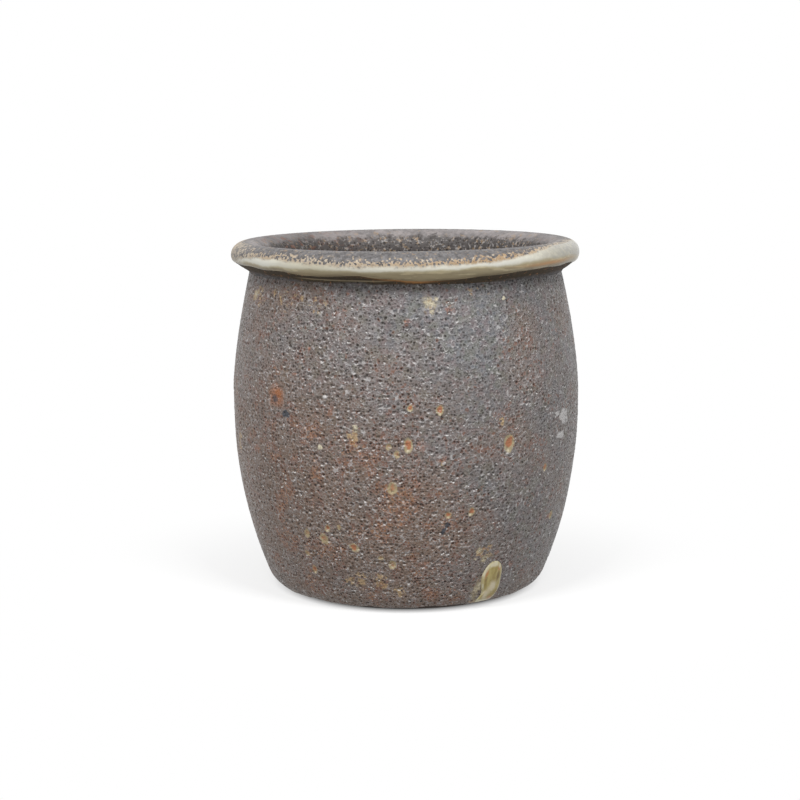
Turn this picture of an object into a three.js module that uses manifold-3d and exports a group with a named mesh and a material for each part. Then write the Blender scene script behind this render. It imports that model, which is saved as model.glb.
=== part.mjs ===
// Earthenware storage jar: barrel-shaped and wide-mouthed, with a rolled rim, as a potter puts it together.
// A slab base carries a wall thrown in two sections, and a roll of clay on the neck becomes the rim.
// Slip joins the clay pieces, a coil is pressed into the inside corner, and glaze coats the clay.
// Millimetres, +Z up. The origin is the centre of the foot's resting face.
import * as THREE from "three";
import { mergeVertices } from "three/addons/utils/BufferGeometryUtils.js";
import Module from "manifold-3d";

const wasm = await Module();
wasm.setup();

// Driving dimensions of the clay
const wallThickness = 12;
const baseThickness = 13;
const bellyRadius = 147.8;
const bellyHeight = 173.7;
const neckInset = 15.7; // from the belly in to the neck
const neckHeight = 275; // where the rim's underside leaves the wall
const footInset = 34.5; // from the belly in to where the wall's curve would meet the ground
const footCorner = 15; // rounding between the wall and the resting face
const lowerFullness = 2.33; // power of the wall's curve below the belly
const upperFullness = 1.5; // power of the wall's curve above the belly

// Driving dimensions of the rim
const rimOverhang = 16.1; // from the neck out to the rim's widest line
const rimHeight = 23.5; // from the neck up to the crest
const noseDrop = 9; // from the crest down to the widest line
const undersideLift = 8.5; // how far the underside climbs before it turns into the nose
const crestInset = 11.3; // from the widest line in to the crest
const throatLength = 5.5; // straight stretch above the neck, before the mouth flares

// Seams between the clay pieces
const slipThickness = 1;
const bellySeamHeight = 150;
const neckSeamDrop = 13; // from the neck down to the rim's seam
const lapHeight = 5; // step of the lapped seams
const cornerCoilSize = 14;
const coilBluntness = 0.15; // share of the coil's face cut off at each feather edge

// Glaze
const glazeThickness = 1.2;
const beadThickness = 1.5; // pale glaze that pooled on the rim's nose and underside
const glazeClearance = 0.3; // between the clay and each coat, and between neighbouring coats
const wipedFootHeight = 4; // bare clay above the ground, wiped clean before firing

// Large burst craters in the outer glaze. Each one on the front has a turn in degrees from the front
// towards +X, a height, a width and a length. Those round the back are spread evenly.
const craterDepth = 0.65;
const scoopLift = 0.3; // from the glaze's face out to the middle of the ball that scoops a crater
const frontCraters = [
  [0.5, 147, 8, 13],
  [33.8, 144, 11, 16],
  [-18.2, 60, 7, 10],
  [-27.3, 75, 5, 7],
  [1.1, 177, 5, 6],
  [10.2, 175, 7, 9],
  [21.4, 90, 6, 8],
  [13.5, 88.5, 6, 6],
  [51.2, 118, 5, 8],
  [-35.9, 36, 5, 8],
  [-4.5, 112, 8.5, 12],
  [-29.2, 65, 8, 11],
  [-36.1, 68, 6, 8],
  [-5.1, 46, 7, 8],
  [60.1, 73, 7, 8],
];
const backCraters = 32;
const backTurns = [80, 280]; // degrees
const backMargin = 22; // from the ends of the glaze to the nearest crater
const backWidths = [5, 10];
const craterTallness = 1.3; // length of a crater on the back over its width

// The pale glassy run near the foot
const runWidth = 21;
const runLength = 40;
const runLift = 3; // from the wiped foot up to the run's lower end
const runThickness = 1.6;
const runTurn = 34; // degrees round from the front, towards +X

// Fineness of the turned surfaces
const turns = 48;
const wallSteps = 8;
const footSteps = 3;
const archSteps = 4;
const craterSides = 8;
const craterRings = 4;

const neckRadius = bellyRadius - neckInset;
const footRadius = bellyRadius - footInset;

const quarterTurn = Math.PI / 2;
const goldenRatio = (1 + Math.sqrt(5)) / 2;
const samePoint = 1e-6; // points closer than this are one point of an outline
const weldDistance = 1e-4; // corners closer than this are one corner of a solid

const clay = new THREE.MeshStandardMaterial({ color: 0x8a5f45, roughness: 0.9, metalness: 0 });
const slip = new THREE.MeshStandardMaterial({ color: 0x9c7458, roughness: 0.95, metalness: 0 });
const craterGlaze = new THREE.MeshStandardMaterial({ color: 0x6a605c, roughness: 0.6, metalness: 0 });
const liningGlaze = new THREE.MeshStandardMaterial({ color: 0x584e4b, roughness: 0.55, metalness: 0 });
const paleGlaze = new THREE.MeshStandardMaterial({ color: 0xb3aa8c, roughness: 0.3, metalness: 0 });

// The thrown curve: outside radius of the clay wall at a height, rounded under at the foot
function thrownRadius(height) {
  if (height > bellyHeight) {
    const above = (height - bellyHeight) / (neckHeight - bellyHeight);
    return bellyRadius - (bellyRadius - neckRadius) * above ** upperFullness;
  }
  const below = (bellyHeight - height) / bellyHeight;
  const intoCorner = Math.max(0, 1 - height / footCorner);
  const rounding = footCorner * (1 - Math.sqrt(1 - intoCorner ** 2));
  return bellyRadius - (bellyRadius - footRadius) * below ** lowerFullness - rounding;
}

// Heights at which the wall's outline has a point, closer together in the foot's rounding
const spread = (count, place) => Array.from({ length: count }, (_, i) => place(i / count));
const stations = [
  ...spread(footSteps, (share) => footCorner * (1 - Math.cos(share * quarterTurn))),
  ...spread(wallSteps, (share) => footCorner + (neckHeight - footCorner) * share),
  neckHeight,
];

// Outside radius on that outline, so that every piece that ends between two stations lies on the same chord
function wallRadius(height) {
  const next = Math.max(1, stations.findIndex((station) => station >= height));
  const [low, high] = [stations[next - 1], stations[next]];
  return THREE.MathUtils.mapLinear(height, low, high, thrownRadius(low), thrownRadius(high));
}

const at = (radius, height) => new THREE.Vector2(radius, height);
const outside = (height) => at(wallRadius(height), height);
const inside = (height) => at(wallRadius(height) - wallThickness, height);

// Points of one side of the wall between two heights, ends included, going up or down
function wallLine(side, from, to) {
  const [low, high] = [Math.min(from, to), Math.max(from, to)];
  const heights = [low, ...stations.filter((station) => station > low && station < high), high];
  return (from < to ? heights : heights.reverse()).map(side);
}

// A quarter of an ellipse about a centre, from one angle to another, ends included
function archLine(centre, radial, upward, from, to) {
  const ellipse = new THREE.EllipseCurve(centre.x, centre.y, radial, upward, from, to, to < from);
  return ellipse.getPoints(archSteps);
}

// Joins stretches of a line, dropping the points that repeat where they meet
function joinLines(...stretches) {
  const line = stretches.flat();
  return line.filter((point, i) => i === 0 || point.distanceTo(line[i - 1]) > samePoint);
}

// A line moved sideways, to the right of its direction
function offsetLine(line, distance) {
  const normalOf = (a, b) => at(b.y - a.y, a.x - b.x).normalize();
  return line.map((point, i) => {
    const before = i > 0 ? normalOf(line[i - 1], point) : normalOf(point, line[i + 1]);
    const after = i < line.length - 1 ? normalOf(point, line[i + 1]) : before;
    const miter = before.clone().add(after).normalize();
    const moved = point.clone().addScaledVector(miter, distance / miter.dot(after));
    return at(Math.max(0, moved.x), moved.y);
  });
}

// A line whose first point is drawn in, so that two coats that follow each other keep a gap
function trimStart(line, gap) {
  const [first, second, ...rest] = line;
  const start = first.clone().addScaledVector(second.clone().sub(first).normalize(), gap);
  return [start, second, ...rest];
}

// A coat of glaze on a stretch of the clay's surface, as a closed outline
function coatOutline(line, thickness) {
  const under = offsetLine(line, glazeClearance);
  const over = offsetLine(line, glazeClearance + thickness);
  return [...over, ...under.reverse()];
}

// A closed outline turned about the Z axis
function turned(outline) {
  const geometry = new THREE.LatheGeometry([...outline, outline[0]], turns);
  return geometry.rotateX(quarterTurn);
}

function piece(name, geometry, material) {
  const mesh = new THREE.Mesh(geometry, material);
  mesh.name = name;
  return mesh;
}

// Surfaces of the rim, from the neck outwards, over the crest and into the throat
const rimRadius = neckRadius + rimOverhang;
const crestRadius = rimRadius - crestInset;
const crestHeight = neckHeight + rimHeight;
const noseHeight = crestHeight - noseDrop;
const throatRadius = neckRadius - wallThickness;
const throatHeight = neckHeight + throatLength;
const underside = new THREE.QuadraticBezierCurve(
  at(neckRadius, neckHeight),
  at(rimRadius, neckHeight + undersideLift),
  at(rimRadius, noseHeight),
).getPoints(archSteps);
const nose = archLine(at(crestRadius, noseHeight), crestInset, noseDrop, 0, quarterTurn);
const mouth = archLine(
  at(crestRadius, throatHeight),
  crestRadius - throatRadius,
  crestHeight - throatHeight,
  quarterTurn,
  Math.PI,
);

// The inside corner: a concave face between the wall and the floor
const cornerTop = inside(baseThickness + cornerCoilSize);
const cornerFoot = at(inside(baseThickness).x - cornerCoilSize, baseThickness);
const cornerFace = new THREE.QuadraticBezierCurve(cornerTop, inside(baseThickness), cornerFoot);

// The base: a slab beaten out on the wheel, its edge rounded under to the resting face
function baseSlab() {
  return turned([at(0, 0), ...wallLine(outside, 0, baseThickness), at(0, baseThickness)]);
}

// A lapped seam at a height: the lower piece stands higher on its outer half
function lapOf(seamHeight) {
  const middle = wallRadius(seamHeight) - wallThickness / 2;
  return {
    // top of the piece below, from the outside in
    top: [
      outside(seamHeight + lapHeight),
      at(middle, seamHeight + lapHeight),
      at(middle, seamHeight),
      inside(seamHeight),
    ],
    // underside of the piece above, from the inside out
    bottom: [
      inside(seamHeight + slipThickness),
      at(middle - slipThickness, seamHeight + slipThickness),
      at(middle - slipThickness, seamHeight + lapHeight + slipThickness),
      outside(seamHeight + lapHeight + slipThickness),
    ],
  };
}

const neckSeamHeight = neckHeight - neckSeamDrop;
const bellySeam = lapOf(bellySeamHeight);
const neckSeam = lapOf(neckSeamHeight);
const wallStart = baseThickness + slipThickness;

function lowerWall() {
  return turned(joinLines(
    [inside(wallStart)],
    wallLine(outside, wallStart, bellySeamHeight + lapHeight),
    bellySeam.top,
    wallLine(inside, bellySeamHeight, wallStart).slice(0, -1),
  ));
}

function upperWall() {
  const outerFoot = bellySeamHeight + lapHeight + slipThickness;
  return turned(joinLines(
    bellySeam.bottom,
    wallLine(outside, outerFoot, neckSeamHeight + lapHeight),
    neckSeam.top,
    wallLine(inside, neckSeamHeight, bellySeamHeight + slipThickness).slice(0, -1),
  ));
}

function rimRoll() {
  return turned(joinLines(neckSeam.bottom, [outside(neckHeight)], underside, nose, mouth));
}

// Slip squeezed into a lapped seam
function seamSlip(seam) {
  return turned([...seam.top].reverse().concat([...seam.bottom].reverse()));
}

// Slip between the base and the wall
function baseSlip() {
  return turned([inside(baseThickness), outside(baseThickness), outside(wallStart), inside(wallStart)]);
}

// Coil pressed into the inside corner to strengthen the base seam
function cornerCoil() {
  const face = Array.from({ length: archSteps + 1 }, (_, i) =>
    cornerFace.getPoint(coilBluntness + ((1 - 2 * coilBluntness) * i) / archSteps));
  const upperEnd = face[0];
  const lowerEnd = face[face.length - 1];
  const besideWall = (height) => at(inside(height).x - glazeClearance, height);
  return turned([
    at(lowerEnd.x, baseThickness),
    besideWall(baseThickness),
    besideWall(upperEnd.y),
    ...face,
  ]);
}

// Crater glaze over the outside, from the wiped foot to the rim's underside
const outerSkin = wallLine(outside, wipedFootHeight, neckHeight - glazeThickness);
const beadSkin = trimStart(underside, glazeClearance + glazeThickness);
const rimSkin = trimStart(joinLines(nose, mouth), glazeClearance);
const liningSkin = trimStart(
  joinLines(
    [at(throatRadius, throatHeight), at(throatRadius, neckHeight)],
    wallLine(inside, neckHeight, cornerTop.y),
    cornerFace.getPoints(archSteps),
    [at(0, baseThickness)],
  ),
  glazeClearance,
);

// A closed geometry as a solid that can be cut and joined
function solidOf(geometry) {
  const bare = geometry.clone();
  bare.deleteAttribute("normal");
  bare.deleteAttribute("uv");
  const merged = mergeVertices(bare, weldDistance);
  return new wasm.Manifold(new wasm.Mesh({
    numProp: 3,
    vertProperties: merged.attributes.position.array,
    triVerts: new Uint32Array(merged.index.array),
  }));
}

function geometryOf(solid) {
  const mesh = solid.getMesh();
  const geometry = new THREE.BufferGeometry();
  geometry.setAttribute("position", new THREE.BufferAttribute(mesh.vertProperties, 3));
  geometry.setIndex(new THREE.BufferAttribute(mesh.triVerts, 1));
  geometry.computeVertexNormals();
  return geometry;
}

// Craters round the back: steps of the golden ratio and of a square root spread them without rows
function craterBehind(index) {
  const glazeEnds = [wipedFootHeight + backMargin, neckHeight - backMargin];
  const width = THREE.MathUtils.lerp(...backWidths, (index * Math.SQRT2) % 1);
  return [
    THREE.MathUtils.lerp(...backTurns, (index * goldenRatio) % 1),
    THREE.MathUtils.lerp(...glazeEnds, (index + 0.5) / backCraters),
    width,
    width * craterTallness,
  ];
}

// What a burst took away: a flattened ball that sits just off the glaze's face, square to the wall
function craterHollow([degrees, height, width, length]) {
  const turn = THREE.MathUtils.degToRad(degrees);
  const face = offsetLine(outerSkin, glazeClearance + glazeThickness);
  const next = Math.max(1, face.findIndex((point) => point.y >= height));
  const [low, high] = [face[next - 1], face[next]];
  const radius = THREE.MathUtils.mapLinear(height, low.y, high.y, low.x, high.x);
  const facet = (2 * Math.PI) / turns;
  const fromMiddle = THREE.MathUtils.euclideanModulo(turn, facet) - facet / 2;
  const facetRadius = (radius * Math.cos(facet / 2)) / Math.cos(fromMiddle);
  const upward = high.clone().sub(low).normalize();
  const around = new THREE.Vector3(Math.cos(turn), Math.sin(turn), 0);
  const away = new THREE.Vector3(upward.y * Math.sin(turn), -upward.y * Math.cos(turn), -upward.x);
  const middle = new THREE.Vector3(facetRadius * Math.sin(turn), -facetRadius * Math.cos(turn), height);
  middle.addScaledVector(away, scoopLift);
  const ball = new THREE.SphereGeometry(1, craterSides, craterRings);
  ball.scale(width / 2, craterDepth + scoopLift, length / 2);
  const axes = new THREE.Matrix4().makeBasis(around, away, around.clone().cross(away));
  return solidOf(ball.applyMatrix4(axes.setPosition(middle)));
}

// The crater glaze with its large craters sunk about halfway through it
function outerGlaze() {
  const coat = solidOf(turned(coatOutline(outerSkin, glazeThickness)));
  const craters = [...frontCraters, ...Array.from({ length: backCraters }, (_, i) => craterBehind(i))];
  return geometryOf(craters.reduce((glaze, crater) => glaze.subtract(craterHollow(crater)), coat));
}

// The pale run: a tongue of glaze lying on the crater glaze, cut out of a sheet that follows the wall
function glazeRun() {
  const runBottom = wipedFootHeight + runLift;
  const runTop = runBottom + runLength;
  const wallUnder = wallLine(outside, wipedFootHeight, runTop + glazeThickness + runThickness);
  const bed = offsetLine(wallUnder, glazeClearance + glazeThickness);
  const sheet = solidOf(turned(coatOutline(bed, runThickness)));
  const half = runWidth / 2;
  const middle = (runBottom + runTop) / 2;
  const tongue = new THREE.Shape();
  tongue.moveTo(0, runBottom);
  tongue.bezierCurveTo(half, runBottom, half, runBottom, half, middle);
  tongue.bezierCurveTo(half, runTop, half / 2, runTop, 0, runTop);
  tongue.bezierCurveTo(-half / 2, runTop, -half, runTop, -half, middle);
  tongue.bezierCurveTo(-half, runBottom, -half, runBottom, 0, runBottom);
  const cutter = new THREE.ExtrudeGeometry(tongue, {
    depth: footRadius + bellyRadius, // from the axis to well outside the wall
    bevelEnabled: false,
    curveSegments: archSteps,
  });
  cutter.rotateX(quarterTurn);
  cutter.rotateZ(THREE.MathUtils.degToRad(runTurn));
  return geometryOf(sheet.intersect(solidOf(cutter)));
}

const jar = new THREE.Group();
jar.add(
  piece("base_slab", baseSlab(), clay),
  piece("base_slip", baseSlip(), slip),
  piece("corner_coil", cornerCoil(), clay),
  piece("lower_wall", lowerWall(), clay),
  piece("belly_slip", seamSlip(bellySeam), slip),
  piece("upper_wall", upperWall(), clay),
  piece("neck_slip", seamSlip(neckSeam), slip),
  piece("rim_roll", rimRoll(), clay),
  piece("outer_glaze", outerGlaze(), craterGlaze),
  piece("rim_bead", turned(coatOutline(beadSkin, beadThickness)), paleGlaze),
  piece("rim_glaze", turned(coatOutline(rimSkin, glazeThickness)), craterGlaze),
  piece("inner_glaze", turned(coatOutline(liningSkin, glazeThickness)), liningGlaze),
  piece("glaze_run", glazeRun(), paleGlaze),
);

export default jar;
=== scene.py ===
# %% [markdown]
# # A storage jar with a crater glaze
#
# The jar is red earthenware, thrown in two sections on a slab base, with a rolled rim. Its thick glaze
# bubbled in the kiln and set as a crust of small burst craters, and a pale glassy glaze gathered round
# the rim. The solids of the clay, the slip in its seams and plain coats of glaze are loaded as a fixed
# frame. This lesson replaces the plain coats with modelled ones and gives every surface its finish.
# Lengths are metres, Z is up, and turns round the jar are counted from the front towards +X.

# %% Load the solids
import math

import bmesh
import bpy
import numpy as np
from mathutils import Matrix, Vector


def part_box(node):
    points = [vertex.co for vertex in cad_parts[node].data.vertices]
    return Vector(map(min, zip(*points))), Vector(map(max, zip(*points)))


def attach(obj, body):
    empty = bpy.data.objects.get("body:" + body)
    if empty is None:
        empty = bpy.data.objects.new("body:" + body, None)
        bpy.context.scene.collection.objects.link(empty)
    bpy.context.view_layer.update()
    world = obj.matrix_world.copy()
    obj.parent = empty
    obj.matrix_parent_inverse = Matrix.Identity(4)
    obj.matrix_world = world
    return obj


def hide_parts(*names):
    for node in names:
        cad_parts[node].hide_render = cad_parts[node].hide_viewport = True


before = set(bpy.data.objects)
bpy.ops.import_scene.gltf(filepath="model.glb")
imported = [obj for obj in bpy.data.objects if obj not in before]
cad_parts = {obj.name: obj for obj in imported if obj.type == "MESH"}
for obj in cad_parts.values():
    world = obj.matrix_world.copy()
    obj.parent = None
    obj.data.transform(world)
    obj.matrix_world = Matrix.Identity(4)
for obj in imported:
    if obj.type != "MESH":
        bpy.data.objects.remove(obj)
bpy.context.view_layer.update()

mm = 0.001
scene = bpy.context.scene
print("solids:", ", ".join(sorted(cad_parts)))

# %% [markdown]
# ## The camera
#
# The jar is seen from a little above its rim, so that the mouth shows as a narrow ellipse. A long lens
# from a metre and a half away gives that flat, catalogue look. The camera leans over by a quarter of a
# degree, as a hand-levelled tripod does.

# %% Place the camera
camera_place = (-4.1 * mm, -1567 * mm, 410.1 * mm)
camera_dip = math.radians(9.07)
camera_lean = math.radians(0.25)
lens_length = 81.78  # millimetres, before a sensor 36 mm wide

camera_data = bpy.data.cameras.new("camera")
camera_data.sensor_width = 36
camera_data.lens = lens_length
camera = bpy.data.objects.new("camera", camera_data)
camera.location = camera_place
camera.rotation_euler = (math.pi / 2 - camera_dip, camera_lean, 0)
scene.collection.objects.link(camera)
scene.camera = camera

# %% [markdown]
# ## The clay's outline
#
# Everything on a thrown jar is round, so each coat of glaze can follow one line in the half-plane of
# radius and height. The line could be traced from the solids' corners, but those are facets. A formula
# with the same few sizes gives the smooth curve between them: a barrel that is fullest a little above
# the middle, drawn in to the neck and rounded under at the foot.

# %% The barrel
belly_radius = 147.8 * mm
belly_height = 173.7 * mm
neck_radius = 132.1 * mm
neck_height = 275 * mm
foot_radius = 113.3 * mm
foot_corner = 15 * mm
lower_fullness = 2.33
upper_fullness = 1.5
wall_thickness = 12 * mm


def wall_radius(height):
    """Outside radius of the clay wall at a height."""
    above = np.clip((height - belly_height) / (neck_height - belly_height), 0, 1)
    below = np.clip((belly_height - height) / belly_height, 0, 1)
    into_corner = np.clip(1 - height / foot_corner, 0, 1)
    rounding = foot_corner * (1 - np.sqrt(1 - into_corner**2))
    to_neck = (belly_radius - neck_radius) * above**upper_fullness
    to_foot = (belly_radius - foot_radius) * below**lower_fullness
    return belly_radius - to_neck - to_foot - rounding


corners = np.array([corner.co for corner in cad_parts["lower_wall"].data.vertices])
beyond = (np.hypot(corners[:, 0], corners[:, 1]) - wall_radius(corners[:, 2])).max()
print("the clay's corners stand past the curve by at most", round(beyond / mm, 3), "mm")

# %% [markdown]
# ## Lines that know their outside
#
# A coat needs the line, how far along it a point lies, and which way is off the clay. Keeping the line
# as closely spaced points makes all three a matter of interpolation. The right-hand side of the
# direction of travel is the outside: up the wall it faces away from the jar, and down the inside it
# faces the hollow. A little softening stands for glaze that rounds off every sharp corner.

# %% A turned line
line_spacing = 0.25 * mm


def softened(values, reach):
    """Values averaged with their neighbours, with both ends kept where they are."""
    steps = np.arange(-3 * reach, 3 * reach + 1)
    weights = np.exp(-0.5 * (steps / reach) ** 2)
    padded = np.pad(values, 3 * reach, mode="reflect", reflect_type="odd")
    return np.convolve(padded, weights / weights.sum(), mode="valid")


class TurnedLine:
    """A line of radius and height, measured along its length."""

    def __init__(self, points, softness=0):
        radius, height = np.array(points).T
        along = np.concatenate([[0], np.cumsum(np.hypot(np.diff(radius), np.diff(height)))])
        even = np.linspace(0, along[-1], round(along[-1] / line_spacing) + 1)
        self.radius = np.interp(even, along, radius)
        self.height = np.interp(even, along, height)
        if softness:
            self.radius = softened(self.radius, round(softness / line_spacing))
            self.height = softened(self.height, round(softness / line_spacing))
        steps = np.hypot(np.diff(self.radius), np.diff(self.height))
        self.along = np.concatenate([[0], np.cumsum(steps)])
        self.length = self.along[-1]
        self.out_radius = np.gradient(self.height, self.along)
        self.out_height = -np.gradient(self.radius, self.along)

    def offset(self, along, lift):
        """Radius and height of points this far along the line and this far off the clay."""
        radius = np.interp(along, self.along, self.radius)
        height = np.interp(along, self.along, self.height)
        out_radius = np.interp(along, self.along, self.out_radius)
        out_height = np.interp(along, self.along, self.out_height)
        return radius + lift * out_radius, height + lift * out_height

    def place_of(self, radius, height):
        """How far along the line its nearest point to a given one lies."""
        return self.along[np.argmin(np.hypot(self.radius - radius, self.height - height))]


wiped_foot = 4 * mm
wall_heights = np.linspace(wiped_foot, neck_height, 400)
wall_line = TurnedLine(np.column_stack([wall_radius(wall_heights), wall_heights]))
print("the glazed wall is", round(wall_line.length / mm, 1), "mm long from foot to neck")

# %% [markdown]
# The second line starts on the wall just under the rim, follows the rolled rim out, over its crest and
# into the throat, and goes on down the inside to the middle of the floor. One line for all of that
# keeps the bead, the rim's top and the lining without a step where they meet.

# %% The line over the rim and down the inside
rim_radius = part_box("rim_roll")[1].x
crest_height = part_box("rim_roll")[1].z
nose_height = crest_height - 9 * mm
crest_radius = rim_radius - 11.3 * mm
underside_lift = 8.5 * mm
throat_radius = neck_radius - wall_thickness
throat_height = neck_height + 5.5 * mm
floor_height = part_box("base_slab")[1].z
coil_size = 14 * mm
lead_in = 14 * mm  # wall under the rim on which the line starts
glaze_rounding = 1.8 * mm


def bend(start, middle, end, count=40):
    """Points of a curve that leaves start towards middle and arrives at end from it."""
    share = np.linspace(0, 1, count)[:, None]
    start, middle, end = np.array(start), np.array(middle), np.array(end)
    return (1 - share) ** 2 * start + 2 * share * (1 - share) * middle + share**2 * end


def quarter_arch(end_radius, end_height, from_turn, count=40):
    """A quarter of an ellipse between the rim's crest and an end at another radius and height,
    anticlockwise from a number of quarter turns."""
    angle = np.linspace(from_turn, from_turn + 1, count) * math.pi / 2
    radius = crest_radius + abs(end_radius - crest_radius) * np.cos(angle)
    return np.column_stack([radius, end_height + (crest_height - end_height) * np.sin(angle)])


def inside_point(height):
    return (wall_radius(height) - wall_thickness, height)


under_rim = np.linspace(neck_height - lead_in, neck_height, 40)
down_inside = np.linspace(neck_height, floor_height + coil_size, 300)
under_nose = (rim_radius, neck_height + underside_lift)
corner_foot = (inside_point(floor_height)[0] - coil_size, floor_height)
mouth_points = [
    np.column_stack([wall_radius(under_rim), under_rim]),
    bend((neck_radius, neck_height), under_nose, (rim_radius, nose_height)),
    quarter_arch(rim_radius, nose_height, 0),
    quarter_arch(throat_radius, throat_height, 1),
    np.column_stack(inside_point(down_inside)),
    bend(inside_point(floor_height + coil_size), inside_point(floor_height), corner_foot),
    [(0, floor_height)],
]
mouth_line = TurnedLine(np.concatenate(mouth_points), glaze_rounding)
at_neck = mouth_line.place_of(neck_radius, neck_height)
at_nose = mouth_line.place_of(rim_radius, nose_height)
at_crest = mouth_line.place_of(crest_radius, crest_height)
at_throat = mouth_line.place_of(throat_radius, throat_height)
print("along the mouth line in mm: neck, nose, crest, throat, end:",
      *[round(place / mm, 1) for place in (at_neck, at_nose, at_crest, at_throat, mouth_line.length)])

# %% [markdown]
# ## Skins
#
# A coat is built as a grid: rows follow its line, columns go round the jar. NumPy makes the grid, and
# Blender gets it as a mesh of quads. Each coat is a closed body, so a few plain rows behind the visible
# skin bring it back to its start. The grid also lays out the map for baked textures: the strip round
# the jar is cut into lengths that are stacked, so that the map is about as wide as it is high.

# %% Grids round the jar
def turns_of(columns):
    """The turn of each column, as one row. The join is at the back."""
    return np.linspace(-math.pi, math.pi, columns, endpoint=False)[None, :]


def round_points(radius, height, turn):
    """Places in the frame for a grid of radii, heights and turns."""
    return np.stack([radius * np.sin(turn), -radius * np.cos(turn), height], axis=-1)


def grid_quads(rows, columns):
    """Corners of the quads of an open strip whose columns close round the jar, facing off the clay."""
    row, column = np.meshgrid(np.arange(rows - 1), np.arange(columns), indexing="ij")
    beside = (column + 1) % columns
    quads = [row * columns + column, row * columns + beside,
             (row + 1) * columns + beside, (row + 1) * columns + column]
    return np.stack(quads, axis=-1).reshape(-1, 4)


def grid_mesh(name, points, quads):
    mesh = bpy.data.meshes.new(name)
    mesh.from_pydata(points.reshape(-1, 3).tolist(), [], quads.tolist())
    mesh.polygons.foreach_set("use_smooth", np.ones(len(mesh.polygons), dtype=bool))
    return mesh


def keep_values(mesh, name, values):
    """Stores a number, or a place, at each point of a mesh, for the materials to read."""
    is_place = values.ndim == 3
    attribute = mesh.attributes.new(name, "FLOAT_VECTOR" if is_place else "FLOAT", "POINT")
    attribute.data.foreach_set("vector" if is_place else "value", values.astype(np.float32).ravel())


def lay_out_map(mesh, rows, columns, strips):
    """A texture map of the grid, in stacked strips with a narrow margin."""
    margin = 0.004
    row, column = np.meshgrid(np.arange(rows), np.arange(columns), indexing="ij")
    per_strip = columns // strips
    strip = np.minimum(column // per_strip, strips - 1)
    in_strip = column - strip * per_strip
    across = np.stack([in_strip + step for step in (0, 1, 1, 0)], axis=-1) / per_strip
    upward = np.stack([row + step for step in (0, 0, 1, 1)], axis=-1) / rows
    across = margin + (1 - 2 * margin) * across
    upward = (strip[..., None] + margin + (1 - 2 * margin) * upward) / strips
    layer = mesh.uv_layers.new(name="OFBake")
    layer.uv.foreach_set("vector", np.stack([across, upward], axis=-1).astype(np.float32).ravel())


print("a grid of 3 rows and 4 columns has", len(grid_quads(3, 4)), "quads")

# %% [markdown]
# A closed skin joins its last hidden row to its first visible one. Where a row shrinks to a point, its
# points are welded into one. Pieces that meet on the rim are cut from one grid, so they also take their
# shading normals from that grid, and the cut can't be seen.

# %% A closed piece
weld_on_axis = (1e-7, 1e-7)  # how near points are that get welded, and how far off the axis they may be
weld_anywhere = (1e-6, math.inf)


def grid_normals(points):
    """Directions off the clay at each point of a grid."""
    round_step = np.roll(points, -1, axis=1) - np.roll(points, 1, axis=1)
    row_step = np.gradient(points, axis=0)
    normal = np.cross(round_step, row_step)
    return normal / np.maximum(np.linalg.norm(normal, axis=-1, keepdims=True), 1e-12)


def weld(mesh, near, off_axis):
    """Welds points that lie together."""
    work = bmesh.new()
    work.from_mesh(mesh)
    points = [point for point in work.verts if math.hypot(point.co.x, point.co.y) < off_axis]
    bmesh.ops.remove_doubles(work, verts=points, dist=near)
    work.to_mesh(mesh)
    work.free()


def closed_piece(name, skin, behind, values, material, strips, normals=None, welded=None):
    """A closed body from a visible skin, the rows behind it and the numbers kept on it."""
    points = np.concatenate([skin, behind])
    rows, columns = points.shape[:2]
    quads = grid_quads(rows + 1, columns) % (rows * columns)
    mesh = grid_mesh(name, points, quads)
    lay_out_map(mesh, rows, columns, strips)
    for label, numbers in values.items():
        hidden = np.repeat(numbers[-1:], rows - len(numbers), axis=0)
        keep_values(mesh, label, np.concatenate([numbers, hidden]))
    if normals is not None:
        turned_in = grid_normals(points)
        turned_in[:len(skin)] = normals
        mesh.normals_split_custom_set_from_vertices(turned_in.reshape(-1, 3).tolist())
    if welded:
        weld(mesh, *welded)
    mesh.materials.append(material)
    piece = bpy.data.objects.new(name, mesh)
    scene.collection.objects.link(piece)
    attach(piece, "root")
    return piece


print("pieces are closed behind, and welded where they end in a point")

# %% [markdown]
# Three small functions shape most of what follows: a smooth step, a bell for soft spots, and a ripple
# of a few waves for what hands and heat leave uneven. The ripple's phases come from a fixed seed.

# %% Steps, bells and ripples
def step_up(values, low, high):
    """0 below low, 1 above high and a smooth slope between; the other way round if high is lower."""
    share = np.clip((values - low) / (high - low), 0, 1)
    return share * share * (3 - 2 * share)


def bell(gap, spread):
    """1 in the middle, and next to nothing three spreads away."""
    return np.exp(-0.5 * (gap / spread) ** 2)


def ripple(turn, height, waves, seed):
    """A smooth uneven surface round the jar, mostly between -1 and 1. A wave is a count round the jar
    and a wave length up it."""
    chance = np.random.default_rng(seed)
    total = np.zeros(np.broadcast(turn, height).shape)
    for count, length in waves:
        total += np.cos(count * turn + 2 * math.pi * height / length + chance.uniform(0, 2 * math.pi))
    return total / math.sqrt(len(waves))


print("a bell at one spread:", round(float(bell(1, 1)), 2))

# %% [markdown]
# ## Nodes
#
# Materials are node trees, and long chains of nodes are easier to read as sentences. A recipe adds a
# node to its tree, sets it up and gives back its output, so that a finish reads from top to bottom. A
# finish is the recipe of a new material, and ends by joining colour, gloss and relief to the shader.

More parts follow.
